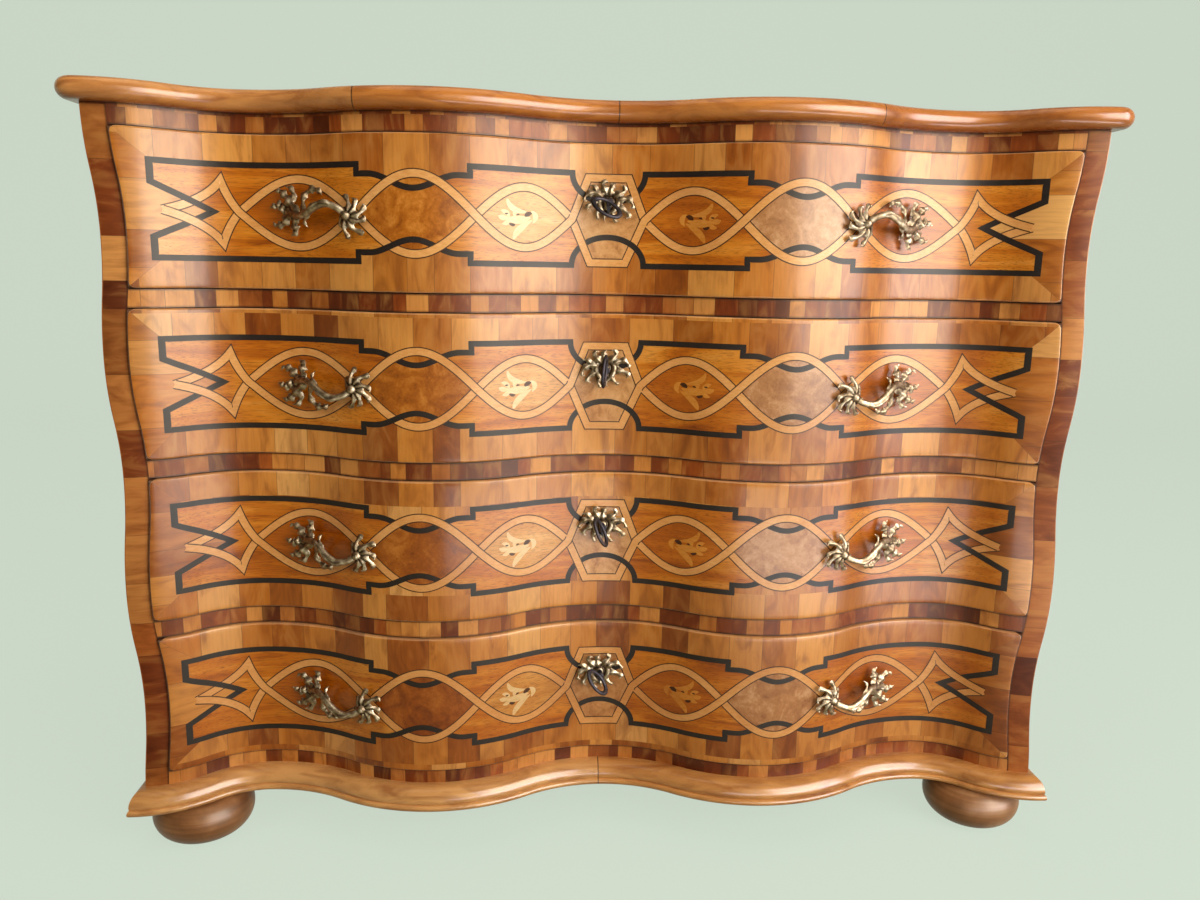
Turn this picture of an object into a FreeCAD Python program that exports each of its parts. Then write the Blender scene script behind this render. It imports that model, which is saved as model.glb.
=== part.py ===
"""Serpentine chest of four drawers, in millimetres.

+X is to the chest's right as seen from the front, +Y runs from the front to the back and +Z is up. The
origin is on the floor, under the middle of the whole chest. Depths in this file are measured from the crest
of the bulges of the carcase front, which crest_y then brings into the frame.
"""
import FreeCAD, Part
import math
import os
from types import SimpleNamespace

import Sketcher

# Driving sizes
SIZES = {
    # front wave, seen in plan
    "crest_x": 211,
    "end_bay": 153.5,
    "wave_depth": 58,
    "carcase_depth": 594,
    # heights, from the floor up
    "feet_height": 57,
    "bottom_rail_height": 44.4,
    "drawer_height": 174,
    "drawer_gap": 1.2,
    "divider_thickness": 21.1,
    "top_rail_height": 22.6,
    # top and its moulding
    "top_thickness": 24,
    "top_overhang": 22,
    "top_nose_flat": 1,
    "top_joint_left": -285,
    "top_joint_middle": 10,
    "top_joint_right": 310,
    # base moulding
    "base_height": 27,
    "base_fillet_height": 8,
    "base_overhang": 26,
    "base_end_overhang": 14,
    "base_step": 3,
    "base_round": 17,
    # corners and sides, seen from the front
    "side_wave": 9,
    "side_taper": 10,
    "stile_width": 26,
    "stile_depth": 32,
    "side_thickness": 36,
    # inner carcase
    "rail_depth": 115,
    "housing_depth": 8,
    "bottom_thickness": 18,
    "batten_width": 150,
    "back_thickness": 18,
    "back_rebate": 14,
    "back_board_gap": 0.6,
    "runner_thickness": 14,
    "runner_width": 40,
    "guide_width": 15,
    "guide_height": 30,
    "guide_clearance": 0.5,
    "running_clearance": 0.2,
    "stop_width": 30,
    "stop_depth": 14,
    "stop_height": 8,
    "stop_clearance": 1,
    # feet
    "foot_radius": 62,
    "foot_floor_radius": 30,
    "foot_neck_radius": 42,
    "foot_tenon_radius": 12,
    "foot_tenon_length": 24,
    "foot_inset_x": 52.5,
    "foot_inset_front": 47,
    "foot_inset_back": 70,
    # drawer boxes
    "front_thickness": 28,
    "front_proud": 5,
    "front_round": 2.5,
    "shoulder_setback": 15,
    "tail_lap": 10,
    "pin_width": 9,
    "tail_flare": 5,
    "drawer_side_thickness": 14,
    "drawer_side_drop": 15,
    "drawer_back_thickness": 14,
    "drawer_rear_gap": 14,
    "drawer_bottom_thickness": 9,
    "drawer_bottom_lift": 10,
    "groove_depth": 6,
    # locks and keys
    "key_height": 107,
    "key_radius": 3,
    "key_clearance": 0.6,
    "key_bit_reach": 15,
    "key_bit_thickness": 4,
    "key_bow_radius": 11,
    "key_bow_wire": 2.5,
    "key_standoff": 30,
    "lock_width": 76,
    "lock_below_key": 38,
    "lock_thickness": 14,
    "lock_proud": 3,
    "lock_wall": 3,
    "bolt_throw": 9,
    "bolt_thickness": 5,
    "bolt_rim": 5,
    "bolt_stem_width": 22,
    "bolt_clearance": 0.4,
    "bolt_drop": 0.5,
    "mortise_clearance": 1,
    # keyhole plates and handles
    "plate_width": 48,
    "plate_height": 56,
    "plate_thickness": 3,
    "plate_bed": 0.6,
    "plate_round": 28,
    "handle_reach": 81,
    "handle_span": 80,
    "handle_rise": 24,
    "handle_wire": 5,
    "rosette_radius": 21,
    "rosette_height": 9,
    "leaf_radius": 16,
    "leaf_height": 8,
    "casting_bed": 3,
    "post_radius": 3,
    "nut_width": 13,
    "nut_thickness": 5,
    "nut_sink": 3,
    "nut_seat_radius": 11,
    "post_end": 3,
}
DRAWERS = 4
HALF_WAVES = 6
TAILS = 3
BACK_BOARDS = 3
# Tests on edges and faces: lengths closer than SAME are equal, and FORWARDS is the least share of -Y in the
# normal of a face that looks to the front
SAME = 0.001
FORWARDS = 0.5

doc = FreeCAD.newDocument("serpentine_chest")
sheet = doc.addObject("Spreadsheet::Sheet", "sheet")
for row, (name, number) in enumerate(SIZES.items(), start=1):
    sheet.set("A%d" % row, name)
    sheet.set("B%d" % row, str(number))
    sheet.setAlias("B%d" % row, name)
doc.recompute()


# Lengths that follow the sheet
class Size:
    """A number that knows its sheet expression and its present value."""

    def __init__(self, text, value):
        self.text = text
        self.value = value

    def __add__(self, other):
        other = as_size(other)
        return Size("(%s + %s)" % (self.text, other.text), self.value + other.value)

    def __sub__(self, other):
        other = as_size(other)
        return Size("(%s - %s)" % (self.text, other.text), self.value - other.value)

    def __mul__(self, other):
        other = as_size(other)
        return Size("(%s * %s)" % (self.text, other.text), self.value * other.value)

    def __truediv__(self, other):
        other = as_size(other)
        return Size("(%s / %s)" % (self.text, other.text), self.value / other.value)

    def __rsub__(self, other):
        return as_size(other) - self

    def __neg__(self):
        return as_size(0) - self

    __radd__ = __add__
    __rmul__ = __mul__


def as_size(number):
    """A plain number as a Size; a Size as it is."""
    if isinstance(number, Size):
        return number
    return Size(repr(float(number)), float(number))


def root(size):
    """Square root of a Size."""
    return Size("sqrt(%s)" % size.text, math.sqrt(size.value))


s = SimpleNamespace(**{name: Size("sheet." + name, float(number)) for name, number in SIZES.items()})

# Sizes that follow from the driving ones
corner_x = 2 * s.crest_x + s.end_bay
foot_corner_x = corner_x - s.side_taper
crest_y = (s.base_overhang - s.carcase_depth) / 2
bay_height = s.drawer_height + 2 * s.drawer_gap
floor_z = s.feet_height
lowest_bay_z = floor_z + s.bottom_rail_height
drawer_pitch = bay_height + s.divider_thickness
top_rail_z = lowest_bay_z + DRAWERS * bay_height + (DRAWERS - 1) * s.divider_thickness
top_z = top_rail_z + s.top_rail_height
side_inner_x = corner_x - s.side_thickness
box_x = side_inner_x - s.guide_width - s.guide_clearance
back_y = s.carcase_depth - s.back_thickness
front_inset = s.front_thickness - s.front_proud
drawer_side_height = s.drawer_height + s.drawer_gap - s.running_clearance - s.drawer_side_drop
margin = 2 * s.stile_width


# Outlines of straight lines and arcs
class Path:
    """Points in order, with the (radius, turn) of the arc that leads to the next point, or None for a line.

    A turn of 1 is counter-clockwise and of -1 clockwise.
    """

    def __init__(self, points, arcs=None):
        self.points = [(as_size(u), as_size(v)) for u, v in points]
        self.arcs = arcs if arcs is not None else [None] * (len(points) - 1)

    def reversed(self):
        arcs = [arc and (arc[0], -arc[1]) for arc in reversed(self.arcs)]
        return Path(self.points[::-1], arcs)

    def mirrored(self):
        arcs = [arc and (arc[0], -arc[1]) for arc in self.arcs]
        return Path([(-u, v) for u, v in self.points], arcs)

    def joined(self, other, arc=None):
        return Path(self.points + other.points, self.arcs + [arc] + other.arcs)


def s_curve(length, depth):
    """Radius, sine and cosine of two equal tangent arcs that step aside by depth over a length."""
    radius = (length * length + depth * depth) / (4 * depth)
    return radius, length / (2 * radius), 1 - depth / (2 * radius)


def front_wave(offset, overrun=None):
    """The serpentine from left to right, moved forwards by offset, with straight ends if it overruns."""
    bulge, sine, cosine = s_curve(s.crest_x, s.wave_depth)
    end, end_sine, end_cosine = s_curve(s.end_bay, s.wave_depth)
    offset = as_size(offset)
    hollow_x = 2 * s.crest_x
    mid_y = s.wave_depth / 2
    right = Path(
        [
            (s.crest_x / 2 - offset * sine, mid_y - offset * cosine),
            (s.crest_x * 1.5 + offset * sine, mid_y - offset * cosine),
            (hollow_x, s.wave_depth - offset),
            (hollow_x + s.end_bay / 2 - offset * end_sine, mid_y - offset * end_cosine),
            (corner_x, -offset),
        ],
        [(bulge + offset, 1), (bulge - offset, -1), (end - offset, -1), (end + offset, 1)],
    )
    if overrun is not None:
        right = right.joined(Path([(corner_x + overrun, -offset)]))
    left = right.mirrored().reversed()
    return left.joined(right, (bulge - offset, -1))


def side_edge(inset):
    """The right-hand corner edge in elevation, from top to bottom, moved inwards by inset."""
    inset = as_size(inset)
    length = (top_z - floor_z) / HALF_WAVES
    step = s.side_taper / HALF_WAVES
    points = [(corner_x - inset, top_z)]
    arcs = []
    x = corner_x
    z = top_z
    for index in range(HALF_WAVES):
        outward = -1 if index % 2 == 0 else 1
        depth = s.side_wave - outward * step
        radius, sine, cosine = s_curve(length, depth)
        middle = (x + outward * depth / 2 - inset * cosine, z - length / 2 - outward * inset * sine)
        x = x + outward * depth
        z = z - length
        points += [middle, (x - inset, z)]
        arcs += [(radius + outward * inset, outward), (radius - outward * inset, -outward)]
    return Path(points, arcs)


def strip(front, back, overrun=None):
    """Closed outline between the front wave at one offset and, behind it, the wave at another."""
    return front_wave(front, overrun).joined(front_wave(back, overrun).reversed())


def board(front, back):
    """Closed outline between the front wave and a straight back edge."""
    return front_wave(front).joined(Path([(corner_x, back), (-corner_x, back)]))


def elevation(inset):
    """Closed outline of the whole front in elevation, moved inwards by inset at both corners."""
    edge = side_edge(inset)
    return edge.reversed().joined(edge.mirrored())


# Solids
def bind(obj, **sizes):
    """Tie properties of an object to sizes."""
    for name, size in sizes.items():
        obj.setExpression(name, as_size(size).text)


def place(obj, x=0, y=0, z=0, turn=None):
    """Tie an object's place to sizes, y being measured from the crest; turn is a fixed rotation."""
    if turn is not None:
        obj.Placement = FreeCAD.Placement(FreeCAD.Vector(), turn)
    for axis, size in zip("xyz", (x, crest_y + y, z)):
        obj.setExpression("Placement.Base." + axis, as_size(size).text)
    return obj


def vector(point):
    """The present place of a point of a path."""
    return FreeCAD.Vector(point[0].value, point[1].value, 0)


def stretch(start, end, arc):
    """The line or arc between two points."""
    if arc is None:
        return Part.LineSegment(start, end)
    radius, turn = arc[0].value, arc[1]
    chord = end - start
    rise = math.sqrt(radius ** 2 - (chord.Length / 2) ** 2)
    across = FreeCAD.Vector(-chord.y, chord.x, 0).normalize()
    centre = (start + end) / 2 + across * rise * turn
    first, last = (start, end) if turn > 0 else (end, start)
    from_angle = math.atan2(first.y - centre.y, first.x - centre.x)
    to_angle = math.atan2(last.y - centre.y, last.x - centre.x)
    if to_angle < from_angle:
        to_angle += 2 * math.pi
    circle = Part.Circle(centre, FreeCAD.Vector(0, 0, 1), radius)
    return Part.ArcOfCircle(circle, from_angle, to_angle)


def origin_plane(body, role):
    """One of a body's own planes."""
    return next(feature for feature in body.Origin.OriginFeatures if feature.Role == role)


def draw(body, role, path, level=0):
    """A sketch of a closed path whose points and radii are tied to the sheet."""
    sketch = body.newObject("Sketcher::SketchObject", body.Name + "_outline")
    sketch.AttachmentSupport = [(origin_plane(body, role), "")]
    sketch.MapMode = "FlatFace"
    sketch.setExpression("AttachmentOffset.Base.z", as_size(level).text)
    count = len(path.points)
    arcs = path.arcs + [None]
    ends = [(2, 1) if arc and arc[1] < 0 else (1, 2) for arc in arcs]
    places = [vector(point) for point in path.points]
    shapes = [stretch(places[i], places[(i + 1) % count], arcs[i]) for i in range(count)]
    sketch.addGeometry(shapes, False)
    constraints = []
    ties = []
    for i, (u, v) in enumerate(path.points):
        start, end = ends[i]
        following = (i + 1) % count
        constraints.append(Sketcher.Constraint("Coincident", i, end, following, ends[following][0]))
        ties += [(len(constraints), u), (len(constraints) + 1, v)]
        constraints.append(Sketcher.Constraint("DistanceX", -1, 1, i, start, u.value))
        constraints.append(Sketcher.Constraint("DistanceY", -1, 1, i, start, v.value))
        if arcs[i]:
            ties.append((len(constraints), arcs[i][0]))
            constraints.append(Sketcher.Constraint("Radius", i, arcs[i][0].value))
    sketch.addConstraint(constraints)
    for index, size in ties:
        sketch.setExpression("Constraints[%d]" % index, size.text)
    return sketch


def pad(body, sketch, length, side="One side"):
    """A pad of a sketch."""
    feature = body.newObject("PartDesign::Pad", body.Name + "_pad")
    feature.Profile = sketch
    feature.SideType = side
    bind(feature, Length=length)
    return feature


def flat_prism(name, path, z, height):
    """A body with one outline in plan, padded upwards from z."""
    body = doc.addObject("PartDesign::Body", name)
    pad(body, draw(body, "XY_Plane", path, z), height)
    return place(body)


def upright_prism(name, path):
    """A body with one outline in elevation, padded both ways through the whole depth."""
    body = doc.addObject("PartDesign::Body", name)
    pad(body, draw(body, "XZ_Plane", path), 2 * s.carcase_depth, "Symmetric")
    return place(body)


def box(name, x, y, z):
    """A squared piece between pairs of sizes."""
    solid = doc.addObject("Part::Box", name)
    bind(solid, Length=x[1] - x[0], Width=y[1] - y[0], Height=z[1] - z[0])
    return place(solid, x[0], y[0], z[0])


def centred(half):
    """The pair of sizes that lie evenly about the middle plane."""
    return -as_size(half), as_size(half)


def rod(name, radius, y, x, z):
    """A round bar that runs from front to back."""
    solid = doc.addObject("Part::Cylinder", name)
    bind(solid, Radius=radius, Height=y[1] - y[0])
    return place(solid, x, y[0], z, FreeCAD.Rotation(FreeCAD.Vector(1, 0, 0), -90))


def boolean(kind, name, base, tool):
    """A cut or common of two solids."""
    feature = doc.addObject("Part::" + kind, name)
    feature.Base = base
    feature.Tool = tool
    feature.Refine = True
    return feature


def fuse(name, *solids):
    """One solid out of several."""
    feature = doc.addObject("Part::MultiFuse", name)
    feature.Shapes = list(solids)
    feature.Refine = True
    return feature


def group(name, *solids):
    """Separate solids that share one node."""
    feature = doc.addObject("Part::Compound", name)
    feature.Links = list(solids)
    return feature


def cut(name, base, *tools):
    """A solid less others."""
    tool = tools[0] if len(tools) == 1 else group(name + "_tools", *tools)
    return boolean("Cut", name, base, tool)


def mirror(name, solid):
    """The left-hand copy of a right-hand solid."""
    feature = doc.addObject("Part::Mirroring", name)
    feature.Source = solid
    feature.Normal = FreeCAD.Vector(1, 0, 0)
    return feature


def pair(name, solid):
    """A right-hand solid and its left-hand copy as one node."""
    return group(name, solid, mirror(name + "_left", solid))


def front_edges(shape):
    """The edges round the faces of a shape that look forwards."""
    faces = [face for face in shape.Faces if -face.normalAt(*face_middle(face)).y > FORWARDS]
    edges = [edge for face in faces for edge in face.Edges]
    outer = [edge for edge in edges if sum(edge.isSame(other) for other in edges) == 1]
    return [
        "Edge%d" % number
        for number, edge in enumerate(shape.Edges, start=1)
        if any(edge.isSame(other) for other in outer)
    ]


def face_middle(face):
    """The middle of a face in its own coordinates."""
    low_u, high_u, low_v, high_v = face.ParameterRange
    return (low_u + high_u) / 2, (low_v + high_v) / 2


def level_edges(shape, names, level=None):
    """Those of the named edges that lie flat, at one height if it is given."""
    kept = []
    for name in names:
        bounds = shape.getElement(name).BoundBox
        flat = bounds.ZLength < SAME
        if flat and (level is None or abs(bounds.ZMin - level) < SAME):
            kept.append(name)
    return kept


def round_over(body, edges, radius):
    """Rounded edges of a body's last feature."""
    last = body.Tip
    feature = body.newObject("PartDesign::Fillet", body.Name + "_round")
    feature.Base = (last, edges)
    bind(feature, Radius=radius)


# Carcase
def carcase():
    """Sides, stiles, rails, boards and the strips that carry the drawers."""
    whole = upright_prism("whole_elevation", elevation(0))
    opening = upright_prism("opening_elevation", elevation(s.stile_width))
    height = top_z - floor_z

    front = flat_prism("front_blank", board(0, s.rail_depth), floor_z, height)
    corner = box(
        "corner_block",
        (corner_x - margin, corner_x + margin),
        (-margin, s.stile_depth),
        (floor_z, top_z),
    )
    stile = boolean("Common", "stile_blank", boolean("Common", "front_shell", front, whole), corner)
    right_stile = cut("right_stile", stile, opening)
    mirror("left_stile", right_stile)

    feet = bun_feet()
    rails = rail_set(opening, feet)
    backs = back_boards()
    bottom = box(
        "bottom_blank",
        centred(side_inner_x + s.housing_depth),
        (s.rail_depth, back_y),
        (lowest_bay_z - s.runner_thickness - s.bottom_thickness, lowest_bay_z - s.runner_thickness),
    )
    blank = box(
        "side_blank",
        (side_inner_x, corner_x + margin),
        (s.stile_depth, s.carcase_depth),
        (floor_z, top_z),
    )
    shaped = boolean("Common", "side_shaped", blank, whole)
    right_side = cut("right_side", shaped, backs, bottom, *rails)
    mirror("left_side", right_side)
    drawer_strips()

    cut("bottom_board", bottom, feet)
    batten = box(
        "batten_blank",
        (side_inner_x - s.batten_width, side_inner_x),
        (s.rail_depth, back_y),
        (floor_z, lowest_bay_z - s.runner_thickness - s.bottom_thickness),
    )
    cut("foot_battens", pair("batten_pair", batten), feet)


def rail_set(opening, feet):
    """The five rails that frame the drawers, notched behind the stiles and let into the sides."""
    levels = {"bottom_rail": (floor_z, s.bottom_rail_height), "top_rail": (top_rail_z, s.top_rail_height)}
    for number in range(1, DRAWERS):
        below = DRAWERS - 1 - number
        levels["divider_rail_%d" % number] = (
            lowest_bay_z + below * drawer_pitch + bay_height,
            s.divider_thickness,
        )
    rails = []
    for name, (z, height) in levels.items():
        blank = flat_prism(name + "_blank", board(0, s.rail_depth), z, height)
        face = boolean("Common", name + "_face", blank, opening)
        tenon = box(
            name + "_reach",
            centred(side_inner_x + s.housing_depth),
            (s.stile_depth, s.rail_depth),
            (z, z + height),
        )
        solid = fuse(name + "_solid", face, boolean("Common", name + "_tenon", blank, tenon))
        hole = feet if name == "bottom_rail" else bolt_mortise(name + "_mortise", z)
        rails.append(cut(name, solid, hole))
    return rails


def bolt_mortise(name, z):
    """The slot in a rail's underside that takes the bolt of the drawer below it."""
    y = lock_layers()["bolt"]
    return box(
        name,
        centred(s.bolt_stem_width / 2 + s.mortise_clearance),
        (y[0] - s.mortise_clearance, y[1] + s.mortise_clearance),
        (z, z + s.bolt_throw + s.mortise_clearance),
    )


def back_boards():
    """Softwood boards side by side in the rebate of the back."""
    width = (top_z - floor_z - (BACK_BOARDS - 1) * s.back_board_gap) / BACK_BOARDS
    boards = []
    for number in range(BACK_BOARDS):
        z = floor_z + number * (width + s.back_board_gap)
        half_width = side_inner_x + s.back_rebate
        boards.append(
            box("back_board_%d" % number, centred(half_width), (back_y, s.carcase_depth), (z, z + width))
        )
    return group("back_boards", *boards)


def drawer_strips():
    """Runners under, guides beside and stops in front of every drawer."""
    runners = []
    guides = []
    stops = []
    for number in range(1, DRAWERS + 1):
        z = bay_z(number)
        run_y = (s.rail_depth, back_y)
        runner_x = (side_inner_x - s.runner_width, side_inner_x)
        runner = box("runner_%d" % number, runner_x, run_y, (z - s.runner_thickness, z))
        guide_x = (side_inner_x - s.guide_width, side_inner_x)
        guide = box("guide_%d" % number, guide_x, run_y, (z, z + s.guide_height))
        stop_y = front_inset + s.stop_clearance
        stop = box(
            "stop_%d" % number,
            (s.crest_x - s.stop_width / 2, s.crest_x + s.stop_width / 2),
            (stop_y, stop_y + s.stop_depth),
            (z, z + s.stop_height),
        )
        runners += [runner, mirror("runner_%d_left" % number, runner)]
        guides += [guide, mirror("guide_%d_left" % number, guide)]
        stops += [stop, mirror("stop_%d_left" % number, stop)]
    group("drawer_runners", *runners)
    group("drawer_guides", *guides)
    group("drawer_stops", *stops)


def bay_z(number):
    """Height of the rail top under a drawer; drawer 1 is the uppermost."""
    return lowest_bay_z + (DRAWERS - number) * drawer_pitch


# Feet
def bun_feet():
    """Four turned feet with a round tenon each."""
    x = foot_corner_x - s.foot_inset_x
    feet = []
    for name, y in (("front", s.foot_inset_front), ("rear", s.carcase_depth - s.foot_inset_back)):
        right = bun_foot("%s_right_foot" % name, x, y)
        feet += [right, mirror("%s_left_foot" % name, right)]
    return group("bun_feet", *feet)


def bun_foot(name, x, y):
    """A squashed ball turned about its own axis."""
    body = doc.addObject("PartDesign::Body", name)
    middle = (s.foot_floor_radius + s.foot_neck_radius) / 2
    half = s.feet_height / 2
    lean = (s.foot_neck_radius - s.foot_floor_radius) / 2
    depth = s.foot_radius - middle
    radius = (half * half + lean * lean + depth * depth) / (2 * depth)
    profile = Path(
        [
            (0, 0),
            (s.foot_floor_radius, 0),
            (s.foot_neck_radius, s.feet_height),
            (s.foot_tenon_radius, s.feet_height),
            (s.foot_tenon_radius, s.feet_height + s.foot_tenon_length),
            (0, s.feet_height + s.foot_tenon_length),
        ],
        [None, (radius, 1), None, None, None],
    )
    sketch = draw(body, "XZ_Plane", profile)
    turned = body.newObject("PartDesign::Revolution", name + "_turned")
    turned.Profile = sketch
    turned.ReferenceAxis = (sketch, ["V_Axis"])
    turned.Angle = 360
    return place(body, x, y, 0)


# Mouldings
def mitre_masks(name, inner_x, reach_x, reach_y, joint, z, height):
    """Plan masks for the right-hand end of a front moulding and for the end moulding beside it."""
    tip = (inner_x + 2 * reach_x, -2 * reach_y)
    behind = 2 * s.wave_depth
    front = Path([(joint, -2 * reach_y), tip, (inner_x, 0), (inner_x, behind), (joint, behind)])
    far = inner_x + 2 * reach_x
    inner = inner_x - reach_x
    end = Path(
        [
            (inner_x, 0),
            tip,
            (far, s.carcase_depth),
            (inner, s.carcase_depth),
            (inner, s.stile_depth / 4),
            (inner_x, s.stile_depth / 4),
        ]
    )
    return (
        flat_prism(name + "_front_mask", front, z, height),
        flat_prism(name + "_end_mask", end, z, height),
    )


def top():
    """The top board and the half-round moulding on its front and ends."""
    flat_prism("top_board", board(0, s.carcase_depth), top_z, s.top_thickness)
    nose = s.top_thickness / 2 - s.top_nose_flat / 2
    rim = flat_prism("top_nose", top_rim(), top_z, s.top_thickness)
    doc.recompute()
    shape = rim.Tip.Shape
    round_over(rim, level_edges(shape, front_edges(shape)), nose)

    masks = (top_z, s.top_thickness)
    reach = (corner_x, s.top_overhang, s.top_overhang)
    right_mask, end_mask = mitre_masks("top", *reach, s.top_joint_right, *masks)
    left_mask = mirror("top_left_mask", mitre_masks("top_left", *reach, -s.top_joint_left, *masks)[0])
    y = (-2 * s.top_overhang, 2 * s.wave_depth)
    z = (top_z, top_z + s.top_thickness)
    middle_left = box("top_mask_2", (s.top_joint_left, s.top_joint_middle), y, z)
    middle_right = box("top_mask_3", (s.top_joint_middle, s.top_joint_right), y, z)
    lengths = []
    for number, mask in enumerate((left_mask, middle_left, middle_right, right_mask), start=1):
        lengths.append(boolean("Common", "top_length_%d" % number, rim, mask))
    right_end = boolean("Common", "top_end_right", rim, end_mask)
    group("top_moulding", *lengths, right_end, mirror("top_end_left", right_end))


def top_rim():
    """Closed outline of the moulding round the front and ends of the top, rounded at its corners."""
    corner = (s.top_overhang, 1)
    outer_x = corner_x + s.top_overhang
    right = Path([(outer_x, 0), (outer_x, s.carcase_depth), (corner_x, s.carcase_depth)])
    left = right.mirrored().reversed()
    outer = left.joined(front_wave(s.top_overhang), corner).joined(right, corner)
    return outer.joined(front_wave(0).reversed())


def base():
    """The ovolo moulding round the foot of the carcase."""
    overrun = s.base_end_overhang - s.side_taper
    upper = s.base_overhang - s.base_step
    upper_overrun = overrun - s.base_step
    upper_height = s.base_height - s.base_fillet_height
    front = flat_prism("base_nose", strip(s.base_overhang, 0, overrun), floor_z, s.base_fillet_height)
    ovolo_z = floor_z + s.base_fillet_height
    pad(front, draw(front, "XY_Plane", strip(upper, 0, upper_overrun), ovolo_z), upper_height)

    inner = foot_corner_x - s.base_end_overhang
    end = doc.addObject("PartDesign::Body", "base_end_nose")
    for reach, z, height in (
        (s.base_end_overhang, floor_z, s.base_fillet_height),
        (s.base_end_overhang - s.base_step, ovolo_z, upper_height),
    ):
        outer = foot_corner_x + reach
        front_y = -(reach + s.base_overhang - s.base_end_overhang)
        corners = [(inner, front_y), (outer, front_y), (outer, s.carcase_depth), (inner, s.carcase_depth)]
        pad(end, draw(end, "XY_Plane", Path(corners), z), height)
    place(end)
    doc.recompute()
    shape = front.Tip.Shape
    level = (floor_z + s.base_height).value
    round_over(front, level_edges(shape, front_edges(shape), level), s.base_round)
    shape = end.Tip.Shape
    reach = (foot_corner_x + s.base_end_overhang - s.base_step).value
    edges = [
        "Edge%d" % number
        for number, edge in enumerate(shape.Edges, start=1)
        if abs(edge.BoundBox.XMin - reach) < SAME
        and abs(edge.BoundBox.ZMin - level) < SAME
        and edge.BoundBox.XLength < SAME
    ]
    round_over(end, edges, s.base_round)

    front_mask, end_mask = mitre_masks(
        "base", foot_corner_x, s.base_end_overhang, s.base_overhang, 0, floor_z, s.base_height
    )
    right = boolean("Common", "base_front_right", front, front_mask)
    left = mirror("base_front_left", right)
    end_blank = boolean("Common", "base_end_blank", end, end_mask)
    carcase_end = [doc.getObject(name) for name in ("right_side", "right_stile", "back_boards")]
    right_end = cut("base_end_right", end_blank, *carcase_end)
    group("base_moulding", right, left, right_end, mirror("base_end_left", right_end))


# Drawers
def lock_layers():
    """Depths of the lock's case, cavity and bolt."""
    inner = s.wave_depth + front_inset
    back = inner + s.lock_proud
    front = back - s.lock_thickness
    cavity = (front + s.lock_wall, back - s.lock_wall)
    middle = (cavity[0] + cavity[1]) / 2
    return {
        "face": s.wave_depth - s.front_proud,
        "case": (front, back),
        "cavity": cavity,
        "middle": middle,
        "bolt": (middle - s.bolt_thickness / 2, middle + s.bolt_thickness / 2),
    }


def drawer_front_blank(name, z, ends):
    """The serpentine front, rounded along its face and cut to the wave of the stiles at its ends."""
    body = flat_prism(name + "_board", strip(s.front_proud, -front_inset), z, s.drawer_height)
    doc.recompute()
    shape = body.Tip.Shape
    round_over(body, level_edges(shape, front_edges(shape)), s.front_round)
    return boolean("Common", name, body, ends)


def drawer_side(name, z):
    """A right-hand side with dovetails at both ends."""
    shoulder = front_inset + s.shoulder_setback
    tip = shoulder - (s.front_thickness - s.tail_lap)
    rear = back_y - s.drawer_rear_gap
    rear_shoulder = rear - s.drawer_back_thickness
    lowest_tail_z = z + s.drawer_bottom_lift + s.drawer_bottom_thickness
    top_edge = z + drawer_side_height
    pitch = (top_edge - lowest_tail_z) / TAILS
    half_tail = (pitch - s.pin_width) / 2
    front_edge = []
    rear_edge = []
    for tail in range(TAILS):
        middle = lowest_tail_z + (tail + 0.5) * pitch
        flared = (middle - half_tail, middle + half_tail)
        low, high = flared[0] + s.tail_flare, flared[1] - s.tail_flare
        front_edge += [(shoulder, low), (tip, flared[0]), (tip, flared[1]), (shoulder, high)]
        rear_edge += [(rear_shoulder, low), (rear, flared[0]), (rear, flared[1]), (rear_shoulder, high)]
    points = [(shoulder, z), (rear_shoulder, z)] + rear_edge
    points += [(rear_shoulder, top_edge), (shoulder, top_edge)] + front_edge[::-1]
    body = doc.addObject("PartDesign::Body", name)
    pad(body, draw(body, "YZ_Plane", Path(points)), s.drawer_side_thickness)
    return place(body, box_x - s.drawer_side_thickness)


def drawer(number, ends):
    """One drawer with its lock, bolt, key, keyhole plate and handles, between the ends of its opening."""
    name = "drawer_%d" % number
    z = bay_z(number) + s.drawer_gap
    run_z = bay_z(number) + s.running_clearance
    blank = drawer_front_blank(name + "_front_blank", z, ends)
    side = drawer_side(name + "_side_blank", run_z)

    bottom_z = run_z + s.drawer_bottom_lift
    bottom_top = bottom_z + s.drawer_bottom_thickness
    rear = back_y - s.drawer_rear_gap
    panel = flat_prism(
        name + "_panel", board(s.groove_depth - front_inset, rear), bottom_z, s.drawer_bottom_thickness
    )
    panel_x = box_x - s.drawer_side_thickness + s.groove_depth
    trim = box(name + "_panel_trim", centred(panel_x), (-margin, rear), (bottom_z, bottom_top))
    bottom = boolean("Common", name + "_bottom", panel, trim)
    sides = pair(name + "_sides", cut(name + "_side", side, trim))
    back = box(
        name + "_back_blank",
        centred(box_x),
        (rear - s.drawer_back_thickness, rear),
        (bottom_top, run_z + drawer_side_height),
    )
    cut(name + "_back", back, sides)

    lock_box, keyhole = lock(name, z)
    keyhole_plate(name, z, keyhole)
    posts, seats = handles(name, z, blank)
    cut(name + "_front", blank, sides, bottom, lock_box, keyhole, posts, seats)


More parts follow.
